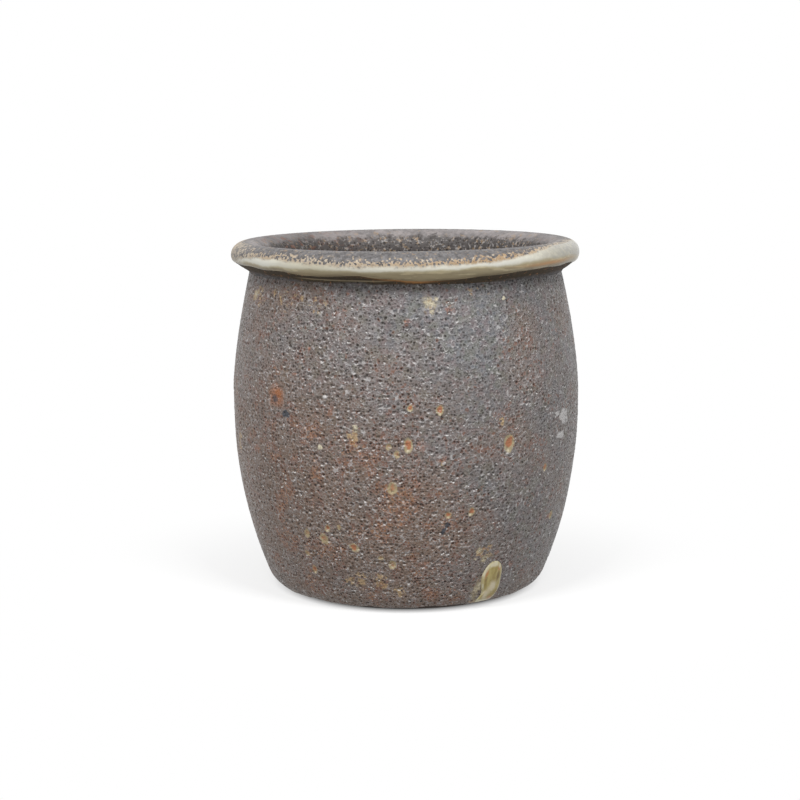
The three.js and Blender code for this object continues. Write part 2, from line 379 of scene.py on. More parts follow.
# %% Recipes
class Recipe:
    """Adds nodes to a tree. An input is a plain value, or the output of another node."""

    def __init__(self, tree):
        self.tree = tree

    def add(self, kind, inputs, **settings):
        made = self.tree.nodes.new(kind)
        for setting, value in settings.items():
            setattr(made, setting, value)
        for label, value in inputs.items():
            if isinstance(value, bpy.types.NodeSocket):
                self.tree.links.new(value, made.inputs[label])
            else:
                made.inputs[label].default_value = value
        return made

    def sums(self, operation, first, second, clamp=False):
        inputs = {0: first, 1: second}
        return self.add("ShaderNodeMath", inputs, operation=operation, use_clamp=clamp).outputs[0]

    def plus(self, first, second):
        return self.sums("ADD", first, second)

    def minus(self, first, second):
        return self.sums("SUBTRACT", first, second)

    def most(self, first, second):
        return self.sums("MAXIMUM", first, second)

    def times(self, product, *others):
        for other in others:
            product = self.sums("MULTIPLY", product, other)
        return product

    def vector(self, operation, *places, **named):
        inputs = {**dict(enumerate(places)), **named}
        return self.add("ShaderNodeVectorMath", inputs, operation=operation).outputs[0]

    def slope(self, value, low, high, start=0.0, end=1.0):
        """A smooth step: start below low, end above high."""
        limits = {"Value": value, "From Min": low, "From Max": high, "To Min": start, "To Max": end}
        return self.add("ShaderNodeMapRange", limits, interpolation_type="SMOOTHSTEP").outputs[0]

    def between(self, share, first, second):
        return self.add("ShaderNodeMix", {0: share, 2: first, 3: second}, data_type="FLOAT").outputs[0]

    def over(self, below, above, *shares):
        """A colour laid over another, by the product of the shares. Colours are red, green and blue,
        as light."""
        inputs = {0: self.times(*shares), 6: below, 7: above}
        for label in (6, 7):
            if isinstance(inputs[label], tuple):
                inputs[label] = (*inputs[label], 1.0)
        return self.add("ShaderNodeMix", inputs, data_type="RGBA").outputs[2]

    def cloud(self, place, scale, detail=2.0, roughness=0.5):
        """Soft noise, about 0.3 to 0.7. The scale is in blots per metre."""
        inputs = {"Vector": place, "Scale": scale, "Detail": detail, "Roughness": roughness}
        return self.add("ShaderNodeTexNoise", inputs).outputs[0]

    def kept(self, name, output="Fac"):
        """A number kept on the mesh."""
        return self.add("ShaderNodeAttribute", {}, attribute_name=name).outputs[output]

    def rest(self):
        """Where each point lay before the relief moved it, so that colour and relief agree."""
        return self.kept("rest", "Vector")

    def grouped(self, group, *values):
        """A shared effect, with its inputs in order."""
        return self.add("ShaderNodeGroup", dict(enumerate(values)), node_tree=group).outputs


print("a recipe can", ", ".join(word for word in vars(Recipe) if not word.startswith("_")))

# %% Finishes and shared groups
class Finish(Recipe):
    """The recipe of a new material."""

    def __init__(self, name):
        self.material = bpy.data.materials.new(name)
        self.material.use_nodes = True
        super().__init__(self.material.node_tree)
        self.shader = self.tree.nodes["Principled BSDF"]

    def done(self, colour, gloss, height, strength, depth, sheen=0.5):
        """The material, with its colour, its gloss and the height of its grain joined to the shader."""
        grain = {"Strength": strength, "Distance": depth, "Height": height}
        bump = self.add("ShaderNodeBump", grain).outputs[0]
        for label, socket in (("Base Color", colour), ("Roughness", gloss), ("Normal", bump)):
            self.tree.links.new(socket, self.shader.inputs[label])
        self.shader.inputs["Specular IOR Level"].default_value = sheen
        print(self.material.name, "has", len(self.tree.nodes), "nodes")
        return self.material


def new_group(name, numbers, masks):
    """A shader node group that takes a place and some numbers and gives masks, and its inner sockets."""
    group = bpy.data.node_groups.new(name, "ShaderNodeTree")
    group.interface.new_socket("Place", in_out="INPUT", socket_type="NodeSocketVector")
    for label in numbers:
        group.interface.new_socket(label, in_out="INPUT", socket_type="NodeSocketFloat")
    for label in masks:
        group.interface.new_socket(label, in_out="OUTPUT", socket_type="NodeSocketFloat")
    return group, group.nodes.new("NodeGroupInput").outputs, group.nodes.new("NodeGroupOutput").inputs


print("a finish is a recipe that starts with a material")

# %% [markdown]
# ## Burst bubbles
#
# The crust is what the jar is known by: gas bubbled up through stiff glaze. Some bubbles burst and left
# a small pit, and the others set as blisters that catch the light. Voronoi cells divide a surface just
# as crowded bubbles do: the borders of the cells are the ridges, they peak where several cells meet,
# and the middle of a cell is a pit or a blister. The same nodes are needed twice, to move the mesh and
# to colour it, so one function builds them in either kind of tree.

# %% Cells with ridges, peaks, pits and blisters
cell_masks = ("Ridge", "Peak", "Pit", "Blister", "Tone")
cell_pull = (0.7, 0.7, 0.7)  # how far, in cells, the borders are drawn out of true
pore_crowd = 0.7  # the share of the fine bubbles that burst


def burst_cells(mix, place, cells, crowd):
    """Masks of ridges, peaks, pits and blisters, and a random number for each cell. Cells are counted
    per metre, and the crowd is the share of them that burst."""
    scaled = mix.vector("SCALE", place, Scale=cells)
    drift = mix.add("ShaderNodeTexNoise", {"Vector": scaled, "Scale": 0.9, "Detail": 2.0}).outputs[1]
    pulled = {"Vector": mix.vector("MULTIPLY_ADD", drift, cell_pull, scaled), "Scale": 1.0}
    border = mix.add("ShaderNodeTexVoronoi", pulled, feature="DISTANCE_TO_EDGE").outputs["Distance"]
    middle = mix.add("ShaderNodeTexVoronoi", pulled, feature="F1").outputs
    chance = mix.add("ShaderNodeSeparateXYZ", {0: middle["Color"]}).outputs
    ridge = mix.slope(border, 0.0, 0.2, 1.0, 0.0)
    peak = mix.slope(middle["Distance"], 0.6, 0.78)
    whole = mix.minus(0.95, crowd)
    burst = mix.slope(chance[2], whole, mix.plus(whole, 0.1))
    reach = mix.slope(chance[0], 0.0, 1.0, 0.28, 0.52)
    pit = mix.times(mix.slope(middle["Distance"], mix.times(reach, 0.4), reach, 1.0, 0.0), burst)
    blister = mix.times(mix.slope(middle["Distance"], 0.08, 0.46, 1.0, 0.0), mix.minus(1.0, burst))
    return ridge, peak, pit, blister, chance[1]


cells_group, given, wanted = new_group("burst bubbles", ["Cells per metre", "Crowd"], cell_masks)
cell_sockets = burst_cells(Recipe(cells_group), given["Place"], given["Cells per metre"], given["Crowd"])
for socket, label in zip(cell_sockets, cell_masks):
    cells_group.links.new(socket, wanted[label])


def bubbles(mix, place, cells, crowd=pore_crowd):
    """The burst bubbles placed in a material."""
    return mix.grouped(cells_group, place, cells, crowd)


print("burst bubbles:", len(cells_group.nodes), "nodes")

# %% [markdown]
# The relief is made by geometry nodes, which can read the same Voronoi cells as a material. A grid goes
# in with two depths kept on its points, one for wide dishes and one for fine pores, and comes back with
# its ridges raised and its pits sunk. How crowded the dishes are is kept on it too. The mesh keeps the
# result, so it also has its craters in another program.

# %% Raise ridges and sink pits
dish_cells = 260.0  # per metre, so 3.8 mm apart
pore_cells = 400.0
ridge_rise = 0.2  # shares of the relief: what a ridge, a peak and a blister stand above the skin
peak_rise = 0.25
blister_rise = 0.4
pit_least = 0.45  # share of the relief that the shallowest pit is sunk


def relief_tree():
    """Geometry nodes that move points off or into the clay by the depths kept on them."""
    tree = bpy.data.node_groups.new("crater relief", "GeometryNodeTree")
    for way in ("INPUT", "OUTPUT"):
        tree.interface.new_socket("Geometry", in_out=way, socket_type="NodeSocketGeometry")
    start = tree.nodes.new("NodeGroupInput")
    end = tree.nodes.new("NodeGroupOutput")
    mix = Recipe(tree)

    def stored(label, kind="FLOAT"):
        return mix.add("GeometryNodeInputNamedAttribute", {"Name": label}, data_type=kind).outputs[0]

    place = stored("rest", "FLOAT_VECTOR")
    layers = [(dish_cells, stored("crowd"), "dish_depth"), (pore_cells, pore_crowd, "pore_depth")]
    height = 0.0
    for cells, crowd, depth in layers:
        ridge, peak, pit, blister, tone = burst_cells(mix, place, cells, crowd)
        raised = mix.plus(mix.times(ridge, ridge_rise), mix.times(peak, peak_rise))
        raised = mix.plus(raised, mix.times(blister, blister_rise))
        sunk = mix.times(pit, mix.slope(tone, 0.0, 1.0, pit_least, 1.0))
        height = mix.plus(mix.times(mix.minus(raised, sunk), stored(depth)), height)
    facing = mix.add("GeometryNodeInputNormal", {}).outputs[0]
    step = mix.vector("SCALE", facing, Scale=height)
    moved = mix.add("GeometryNodeSetPosition", {"Geometry": start.outputs[0], "Offset": step})
    tree.links.new(moved.outputs[0], end.inputs[0])
    return tree


crater_relief = relief_tree()
print("crater relief:", len(crater_relief.nodes), "nodes")

# %% Put the relief on a grid
def with_relief(skin, values):
    """A grid of places with the craters in it."""
    rows, columns = skin.shape[:2]
    mesh = grid_mesh("grid", skin, grid_quads(rows, columns))
    for label, numbers in values.items():
        keep_values(mesh, label, numbers)
    carrier = bpy.data.objects.new("grid", mesh)
    scene.collection.objects.link(carrier)
    carrier.modifiers.new("craters", "NODES").node_group = crater_relief
    shaped = carrier.evaluated_get(bpy.context.evaluated_depsgraph_get()).to_mesh()
    places = np.empty(rows * columns * 3, dtype=np.float32)
    shaped.vertices.foreach_get("co", places)
    bpy.data.objects.remove(carrier)
    bpy.data.meshes.remove(mesh)
    return places.reshape(rows, columns, 3).astype(float)


print("relief reads rest, crowd, dish_depth and pore_depth from a grid")

# %% [markdown]
# ## Marks on the crust
#
# Minerals in the clay bled through the glaze. They left burst and tan spots with a red core in a khaki
# ring, rusty iron, ochre patches and ochre freckles, milky and smeared glass, drips of cream and a few
# dark or chalky marks. Painting them into a texture would tie them to one picture. Here each mark is a
# line of plain numbers, and becomes a mask on the mesh, so that the relief can dish it and the material
# can colour it.

# %% List the marks
# kind, turn in degrees, height, width and length in millimetres, and lean to the right in degrees if any
front_marks = [
    ("burst", 0.5, 147, 8, 13), ("burst", 33.8, 144, 11, 16, 10), ("burst", -18.2, 60, 7, 10, -50),
    ("burst", -27.3, 75, 5, 7, 15), ("burst", 1.1, 177, 5, 6), ("burst", 10.2, 175, 7, 9),
    ("burst", 21.4, 90, 6, 8, 20), ("burst", 13.5, 88.5, 6, 6), ("burst", 51.2, 118, 5, 8, 10),
    ("burst", -35.9, 36, 5, 8), ("burst", 11.3, 132, 4, 4), ("tan", -4.5, 112, 8.5, 12),
    ("tan", -29.2, 65, 8, 11, -20), ("tan", -36.1, 68, 6, 8), ("tan", -5.1, 46, 7, 8),
    ("tan", 60.1, 73, 7, 8), ("ember", -45.5, 180, 20, 18), ("iron", -32.6, 221, 5, 5),
    ("iron", -37.8, 200, 6, 5), ("iron", -9.3, 207, 6, 5), ("iron", 0.3, 245, 8, 6),
    ("iron", -19.9, 266, 6, 5), ("iron", -20.7, 253, 5, 4), ("iron", 14.4, 254, 12, 6),
    ("iron", 27, 271, 5, 4), ("iron", 21.1, 269, 5, 4), ("iron", -14.4, 140, 4, 4),
    ("iron", -36.3, 37, 5, 8), ("iron", 6.1, 46, 10, 9), ("iron", 4.2, 9, 4, 4),
    ("iron", 58.4, 73, 12, 8), ("iron", 52.9, 72, 6, 7), ("iron", -56.5, 40, 8, 6),
    ("iron", -56.7, 133, 14, 12), ("iron", 3.2, 115, 8, 11, -30), ("dark", -40.9, 167, 8, 7),
    ("dark", 13.4, 80, 5, 5), ("dark", 12.2, 75, 4, 7, 30), ("chalk", 12.9, 77, 3, 3),
    ("chalk", -18.7, 89, 3, 3), ("chalk", 11.6, 132, 4, 3), ("chalk", -26, 184, 4, 3),
    ("cream", -27.8, 143, 5, 4), ("cream", -15.8, 161, 5, 4), ("tan", -5.5, 146, 5, 6),
    ("tan", -3, 140, 5, 7), ("tan", -22.9, 77, 4, 5), ("tan", -37.8, 50, 5, 5),
    ("tan", -9.1, 52, 5, 4), ("ochre", -63, 258, 20, 14), ("milky", -65, 259, 13, 9),
    ("ochre", -52, 262, 9, 5), ("ochre", -48.2, 258, 5, 6), ("ochre", -38.1, 260, 4, 5),
    ("ochre", -32.1, 259.6, 5, 4), ("freckled", -45, 259, 60, 26), ("freckled", -32, 255, 34, 16),
    ("freckled", 25, 267, 34, 10), ("ochre", 30.9, 162, 4, 9, 5), ("ochre", -16.5, 152, 9, 13),
    ("milky", -15.9, 158, 4, 4), ("iron", -16.8, 148, 12, 9), ("iron", -14.5, 139.5, 5, 5),
    ("iron", 4.5, 147, 10, 14), ("iron", 11, 134, 12, 8, 30), ("iron", -24, 172, 9, 12),
    ("ochre", -19, 30, 16, 13), ("ochre", -10, 31, 11, 13, 20), ("ochre", -2.8, 22, 8, 8),
    ("freckled", 28.5, 52, 26, 20), ("ochre", 27, 52, 10, 12), ("milky", 26, 54.4, 7, 11),
    ("milky", 28.5, 47, 9, 8), ("milky", 24.9, 47.6, 5, 4), ("ochre", 29.7, 56.5, 6, 5),
    ("iron", 33.4, 51, 8, 7), ("milky", 28.7, 22, 8, 15, 12), ("milky", 27.1, 19, 6, 9),
    ("iron", 41.5, 38, 7, 9), ("ochre", -72, 133, 11, 16), ("freckled", 8, 257, 24, 20),
    ("milky", 7.8, 259, 16, 12, 15), ("milky", 7.9, 258, 9, 8), ("milky", 8.4, 252, 5, 8),
    ("milky", 10, 262, 7, 4, 30), ("cream", 34.9, 260, 3.5, 3.5), ("smear", 28, 20, 10, 22, 12),
    ("smear", 27.2, 14, 9, 14), ("ochre", 29, 8, 9, 4), ("chalk", 62, 157, 19, 14),
    ("chalk", 60, 142, 14, 7), ("chalk", 57, 161, 7, 5),
]
print(len(front_marks), "marks on the front")

# %% [markdown]
# The back isn't known, so its marks are spread by rule. The large craters lie where the solid glaze has
# them too: steps of the golden ratio round the jar and even steps up it leave no rows. Stains between
# them are drawn by chance, from a fixed seed.

# %% Spread marks over the back
back_craters = 32
back_stains = 24
back_turns = (80, 280)  # degrees
back_heights = (26, 253)  # millimetres
back_widths = (5, 10)
stain_widths = (5, 9)
stain_kinds = ("ochre", "ochre", "ember", "cream", "dark", "chalk")
crater_tallness = 1.3
golden_ratio = (1 + math.sqrt(5)) / 2


def within(limits, share):
    return limits[0] + (limits[1] - limits[0]) * share


back_marks = []
for count in range(back_craters):
    kind = "burst" if count % 3 else "tan"
    width = within(back_widths, count * math.sqrt(2) % 1)
    mark_turn = within(back_turns, count * golden_ratio % 1)
    mark_height = within(back_heights, (count + 0.5) / back_craters)
    back_marks.append((kind, mark_turn, mark_height, width, width * crater_tallness))
chance = np.random.default_rng(833)
for count in range(back_stains):
    kind = stain_kinds[count % len(stain_kinds)]
    width = chance.uniform(*stain_widths) * (1.7 if kind == "ochre" else 1)
    mark_turn = chance.uniform(*back_turns)
    mark_height = chance.uniform(*back_heights)
    length = width * chance.uniform(0.9, 1.5)
    back_marks.append((kind, mark_turn, mark_height, width, length, chance.uniform(-30, 30)))
marks = front_marks + back_marks
print(len(back_marks), "marks on the back")

# %% [markdown]
# A mark's edge is uneven, as a melt leaves it. Most kinds are a soft wash or two. A burst or tan spot is
# a glassy dish with a raised ring, a red core and a cream patch at its foot that is a painted highlight on
# its lower lip, and an ember glows beside a dark middle.

# %% Kinds of marks
mask_labels = ("khaki", "ember", "glow", "ochre", "cream", "chalk", "dark", "smooth")
# for each kind how smooth it is, and its washes: a mask, a strength, and where it starts and is full
mark_kinds = {
    "burst": (0.75, [("khaki", 0.8, 1.2, 0.7)]),
    "tan": (0.75, [("khaki", 0.8, 1.2, 0.7)]),
    "ember": (0.5, [("glow", 0.55, 1.25, 0.5)]),
    "smear": (0.5, [("khaki", 0.55, 1.5, 0.2)]),
    "milky": (0.5, [("khaki", 0.5, 1.5, 0.3), ("cream", 0.45, 1.3, 0.1)]),
    "cream": (0.5, [("cream", 1, 1.3, 0.5)]),
    "ochre": (0.15, [("ochre", 0.78, 1.7, 0.3)]),
    "chalk": (0.15, [("chalk", 1, 1.3, 0.5)]),
    "dark": (0.15, [("dark", 1, 1.3, 0.5)]),
    "iron": (0, [("ember", 0.4, 1.5, 0.3)]),
    "freckled": (0, [("ochre", 0.22, 1.2, 0.4)]),
}
# the shares of the red core and of the cream painted highlight at the foot
core_and_glint = {"burst": (0.85, 0.6), "tan": (0.5, 0.4)}
core_seeds = 500  # the cores' edges differ from those of their spots
ring_swell = 0.3 * mm
spot_dish = 0.6 * mm
print("kinds of marks:", ", ".join(mark_kinds))

# %% Turn marks into masks
def mark_place(turn, height, mark):
    """Place within a mark, across it and up it: 1 on its edge."""
    _, mark_turn, mark_height, width, length, lean = (*mark, 0)[:6]
    round_gap = (turn - math.radians(mark_turn) + math.pi) % (2 * math.pi) - math.pi
    across = round_gap * wall_radius(mark_height * mm)
    upward = height - mark_height * mm
    tip = math.radians(lean)
    wide = (across * math.cos(tip) - upward * math.sin(tip)) / (width * mm / 2)
    long = (across * math.sin(tip) + upward * math.cos(tip)) / (length * mm / 2)
    return wide, long


def uneven_distance(wide, long, seed, wobble):
    """Distance from the middle of a mark: 1 on its uneven edge."""
    direction = np.arctan2(long, wide)
    phase = np.random.default_rng(seed).uniform(0, 2 * math.pi, 3)
    edge = 1 + wobble * (np.sin(2 * direction + phase[0]) + 0.8 * np.sin(3 * direction + phase[1])
                         + 0.6 * np.sin(5 * direction + phase[2]))
    return np.hypot(wide, long) / edge


def mark_masks(turn, height):
    """Masks of each colour that the marks have, and their dishes and swellings in metres."""
    masks = {label: np.zeros(turn.shape) for label in mask_labels}
    swell = np.zeros(turn.shape)

    def lay(label, strength, distance, edge, full):
        masks[label] = np.maximum(masks[label], strength * step_up(distance, edge, full))

    for seed, mark in enumerate(marks):
        kind = mark[0]
        smoothness, washes = mark_kinds[kind]
        wide, long = mark_place(turn, height, mark)
        distance = uneven_distance(wide, long, seed, 0.05 if kind in core_and_glint else 0.14)
        lay("smooth", smoothness, distance, 1.2, 0.7)
        for label, strength, edge, full in washes:
            lay(label, strength, distance, edge, full)
        if kind in core_and_glint:
            core_share, glint_share = core_and_glint[kind]
            core = uneven_distance(wide / 0.7, (long - 0.12) / 0.68, seed + core_seeds, 0.1)
            lay("ember", core_share, core, 1.25, 0.5)
            # The cream at the spot's foot is a painted highlight on its lower lip.
            lay("cream", glint_share, np.hypot(wide / 0.5, (long + 0.75) / 0.35), 1.2, 0.3)
            swell += ring_swell * step_up(distance, 1.4, 0.95) - spot_dish * step_up(distance, 0.95, 0.3)
        elif kind == "ember":
            lay("glow", 0.85, np.hypot(wide - 0.25, long - 0.25), 0.9, 0.2)
            lay("dark", 0.65, np.hypot(wide + 0.1, long + 0.2), 0.75, 0.1)
        elif kind == "cream":
            swell += ring_swell * step_up(distance, 1.2, 0.7)
    return masks, swell


print("the marks' masks are", ", ".join(mask_labels))

# %% [markdown]
# ## Finishes
#
# Under the craters the glaze is grey with a mauve cast: paler where it stood up as ridges and rusty where
# iron came through. The pits are painted nearly black, as painted shade in the hollows and partly as glaze
# run thin there. Blisters and peaks get painted pale glints, and each crater's lower lip a painted white
# highlight. The finish starts from the bubbles, lays the stains over them and ends with the marks.
# Ridges are glassier than pits, so they catch the light. Stains and ragged edges are shared by every
# glaze, so they come first.

# %% Stains and ragged edges
stain_group, given, wanted = new_group("stain", ["Blots per metre", "Cover", "Edge"], ["Mask"])
stain_mix = Recipe(stain_group)
blots = stain_mix.cloud(given["Place"], given["Blots per metre"], 4.0, 0.62)
stain_start = stain_mix.minus(0.78, stain_mix.times(given["Cover"], 0.56))
stain_full = stain_mix.plus(stain_start, given["Edge"])
stain_group.links.new(stain_mix.slope(blots, stain_start, stain_full), wanted["Mask"])


def stain(mix, place, blots_per_metre, cover, edge=0.12):
    """Irregular stains. The cover is the share of the surface that they take, from 0 to 1."""
    return mix.grouped(stain_group, place, blots_per_metre, cover, edge)[0]


def ragged(mix, place, mask, roughness=0.8):
    """A mask kept on the mesh, with its soft edge broken up by the crust."""
    noise = mix.minus(mix.cloud(place, 480.0, 3.0, 0.65), 0.5)
    return mix.slope(mix.plus(mix.kept(mask), mix.times(noise, roughness)), 0.2, 0.75)


print("stain:", len(stain_group.nodes), "nodes")

# %% Colours of the crater glaze
pit_black = (0.026, 0.021, 0.019)
ash_dark = (0.094, 0.089, 0.090)
ash_light = (0.202, 0.197, 0.202)
ash_warm = (0.186, 0.118, 0.080)
ash_cool = (0.152, 0.166, 0.188)
ash_mauve = (0.185, 0.140, 0.144)
ash_moss = (0.142, 0.150, 0.124)
ridge_grey = (0.300, 0.290, 0.290)
painted_glint_grey = (0.540, 0.525, 0.525)
lip_highlight_white = (0.700, 0.690, 0.680)
iron_rust = (0.180, 0.084, 0.056)
iron_fleck = (0.390, 0.185, 0.080)
glow_orange = (0.340, 0.118, 0.035)
ochre_yellow = (0.430, 0.305, 0.170)
ochre_amber = (0.270, 0.150, 0.075)
mark_tints = {  # the colour that each mask lays over the crust, and how much of it
    "khaki": ((0.400, 0.330, 0.190), 0.8),
    "ember": ((0.365, 0.125, 0.056), 0.85),
    "cream": ((0.640, 0.580, 0.430), 0.9),
    "chalk": ((0.560, 0.545, 0.540), 0.8),
    "dark": ((0.034, 0.045, 0.062), 0.85),
}
lip_shift = (0, 0, 0.7 * mm)  # how far up each crater is read again, to find its lower lip for a painted white highlight
dull_sheen = 0.25  # this stony glaze shines half as much as window glass does
print("marks with a colour of their own:", ", ".join(mark_tints))

# %% The crater glaze
def ashy_ground(mix, place, tone, warm, iron):
    """The grey of the glaze in its clouds, with rusty cells where there is iron."""
    drift = mix.times(mix.minus(mix.cloud(place, 22.0, 3.0, 0.6), 0.5), 0.5)
    depth = mix.plus(mix.cloud(place, 330.0, 4.0, 0.65), drift)
    ground = mix.over(ash_dark, ash_light, mix.slope(depth, 0.3, 0.7))
    ground = mix.over(ground, ash_cool, mix.slope(tone, 0.15, 0.45, 0.55, 0.0))
    ground = mix.over(ground, ash_mauve, mix.slope(mix.cloud(place, 150.0, 3.0), 0.48, 0.62, 0.0, 0.6))
    ground = mix.over(ground, ash_moss, mix.slope(mix.cloud(place, 115.0, 3.0), 0.5, 0.64, 0.0, 0.6))
    ground = mix.over(ground, ash_warm, warm, 0.85)
    rust_start = mix.minus(1.0, mix.times(iron, 0.6))
    rust_cells = mix.slope(tone, rust_start, mix.plus(rust_start, 0.06))
    return mix.over(ground, iron_rust, rust_cells, 0.65)


def marked(mix, place, colour, tone):
    """The colours of the marks laid over the crust."""
    colour = mix.over(colour, glow_orange, mix.kept("glow"))
    ochre = mix.over(ochre_yellow, ochre_amber, stain(mix, place, 260.0, 0.5))
    cover = mix.kept("ochre")
    spotted = mix.slope(mix.minus(cover, tone), -0.05, 0.2)
    colour = mix.over(colour, ochre, spotted, mix.slope(cover, 0.0, 0.3), 0.8)
    for mask, (tint, share) in mark_tints.items():
        colour = mix.over(colour, tint, ragged(mix, place, mask), share)
    return colour


def crater_glaze():
    """Grey crater glaze with iron stains and the marks of the kiln."""
    mix = Finish("crater_glaze")
    place = mix.rest()
    crowd = mix.kept("crowd")
    warm = mix.kept("warm")
    pores = bubbles(mix, place, pore_cells)
    tone = pores["Tone"]
    dishes = bubbles(mix, place, dish_cells, crowd)
    dishes_above = bubbles(mix, mix.vector("ADD", place, lip_shift), dish_cells, crowd)
    deep_pores = mix.times(pores["Pit"], mix.slope(crowd, 0.05, 0.35, 0.65, 1.0))
    pit = mix.most(deep_pores, mix.times(dishes["Pit"], 0.7))
    iron = mix.times(warm, mix.slope(mix.cloud(place, 45.0, 4.0, 0.65), 0.42, 0.64, 0.0, 1.3))
    colour = ashy_ground(mix, place, tone, warm, iron)
    net = mix.slope(mix.cloud(place, 190.0), 0.38, 0.6, 0.15, 0.55)
    colour = mix.over(colour, ridge_grey, pores["Ridge"], net)
    shine = mix.most(pores["Blister"], mix.times(pores["Peak"], 0.7))
    # Pale grey on the blisters and peaks is a painted glint.
    colour = mix.over(colour, painted_glint_grey, shine, mix.slope(mix.cloud(place, 260.0), 0.44, 0.62, 0.05, 0.75))
    fleck = stain(mix, place, 520.0, mix.times(iron, 0.42), 0.08)
    colour = mix.over(colour, iron_fleck, fleck, 0.45)
    colour = marked(mix, place, colour, tone)
    clear = mix.minus(1.0, mix.times(mix.kept("smooth"), 0.8))
    # Pits are painted near black: painted shade in the hollows, and partly glaze run thin there.
    colour = mix.over(colour, pit_black, pit, mix.slope(tone, 0.2, 1.0, 0.4, 0.95), clear)
    # A white highlight is painted on each crater's lower lip, where light from above would catch it.
    painted_lip_glint = mix.sums("SUBTRACT", dishes_above["Pit"], dishes["Pit"], clamp=True)
    patchy = mix.slope(mix.cloud(place, 200.0), 0.42, 0.62, 0.2, 1.0)
    colour = mix.over(colour, lip_highlight_white, painted_lip_glint, patchy, clear)
    gloss = mix.between(pit, mix.between(shine, 0.34, 0.18), 0.5)
    grain = mix.times(mix.cloud(place, 1500.0, 3.0, 0.6), 0.4)
    height = mix.plus(mix.times(mix.minus(shine, pit), clear), grain)
    return mix.done(colour, gloss, height, 1.0, 0.75 * mm, dull_sheen)


crater_finish = crater_glaze()

# %% [markdown]
# ## The crust
#
# The crust runs from the wiped foot to the rim. It is made as rows less than a millimetre apart, so
# that a crater has several quads across. Hands leave a wall slightly uneven, so the skin gets a slow
# ripple. The foot edge thins out in a round lip that wanders, as a sponge leaves it.

# %% Lay the crust's rows
glaze_lift = 1.5 * mm  # from the clay to the face of the glaze
back_lift = 0.3 * mm  # from the clay to the back of the glaze
crust_step = 0.8 * mm
crust_columns = 1170
crust_top = wall_line.length - 1.2 * mm
foot_margin = 1.6 * mm  # clay left bare by the sponge, and how far its edge wanders
foot_wander = 1.3 * mm
settle = 25 * mm  # height above the foot in which the wandering edge evens out
lip = 3 * mm
hand_ripple = 0.22 * mm

rows_up = np.linspace(0, crust_top, round(crust_top / crust_step) + 1)[:, None]
turn_row = turns_of(crust_columns)
foot_edge = foot_wander * ripple(turn_row, 0 * rows_up, [(3, 1), (7, 1), (13, 1), (29, 1)], 5)
along = rows_up + (foot_margin + foot_edge) * np.clip(1 - rows_up / settle, 0, 1)
round_lip = np.sqrt(1 - np.clip(1 - rows_up / lip, 0, 1) ** 2)
height_now = np.interp(along, wall_line.along, wall_line.height)
turn_now = np.broadcast_to(turn_row, along.shape)
hand = ripple(turn_now, height_now, [(2, 0.5), (3, -0.4), (5, 0.21), (9, -0.13), (14, 0.09)], 11)
crust_lift = back_lift + (glaze_lift - back_lift + hand_ripple * hand) * round_lip
masks, swell = mark_masks(turn_now, height_now)
print("crust grid:", along.shape[0], "rows of", along.shape[1], "points")

# %% [markdown]
# The craters aren't the same all over. On the front they are coarse down the middle and low on the jar,
# and fine towards the sides, with a smooth band to the right of the middle. Such differences come from
# how thick the glaze lay, so they are soft patches: a turn, a height, two spreads and a strength.

# %% Coarse and warm patches
def patches(turn, height, spots):
    """Soft patches added up. Each has a turn, a height in mm, a spread in degrees, one in mm and a
    strength."""
    total = np.zeros(turn.shape)
    for middle, level, spread, rise, strength in spots:
        gap = (np.degrees(turn) - middle + 180) % 360 - 180
        total += strength * bell(gap, spread) * bell(height / mm - level, rise)
    return total


coarse = 0.22 + patches(turn_now, height_now, [
    (-4, 105, 26, 75, 0.85), (25, 200, 6, 55, -0.5), (165, 110, 34, 70, 0.8), (-36, 225, 16, 35, 0.4),
    (-125, 140, 26, 70, 0.6), (95, 150, 20, 60, 0.4), (-50, 120, 22, 80, 0.25),
])
coarse = coarse + 0.12 * ripple(turn_now, height_now, [(5, 0.12), (9, -0.08), (15, 0.07)], 21)
coarse = 0.05 + 0.95 * step_up(coarse, 0.15, 0.85)
# The patch at height 0 makes the glaze warmer and darker towards the foot.
warm = 0.22 + patches(turn_now, height_now, [
    (-50, 125, 32, 75, 0.8), (-36, 98, 9, 18, 0.5), (-20, 40, 35, 40, 0.35), (1, 93, 6, 14, 0.7),
    (0, 110, 18, 60, 0.2), (6, 72, 9, 10, 0.5), (10, 60, 12, 40, 0.25), (-80, 140, 14, 70, 0.2),
    (70, 110, 20, 60, 0.15), (26, 200, 7, 60, -0.2), (160, 90, 40, 60, 0.45), (-120, 70, 30, 60, 0.4),
    (-38, 263, 12, 10, 0.25), (-58, 256, 12, 14, 0.5), (42, 234, 6, 22, 0.55), (66, 240, 7, 12, 0.5),
    (36, 195, 6, 12, 0.45), (34, 146, 9, 16, 0.4), (0, 0, 400, 14, 0.5), (10, 245, 40, 35, -0.1),
    (34, 250, 20, 30, -0.15),
])
warm = np.clip(warm + 0.12 * ripple(turn_now, height_now, [(7, 0.09), (11, -0.06), (17, 0.05)], 23), 0, 1)
print("coarse", round(coarse.mean(), 2), "and warm", round(warm.mean(), 2), "on average")

# %% Build the crust
dish_depth = 0.75 * mm
pore_depth = 0.4 * mm
crust_back_rows = 25

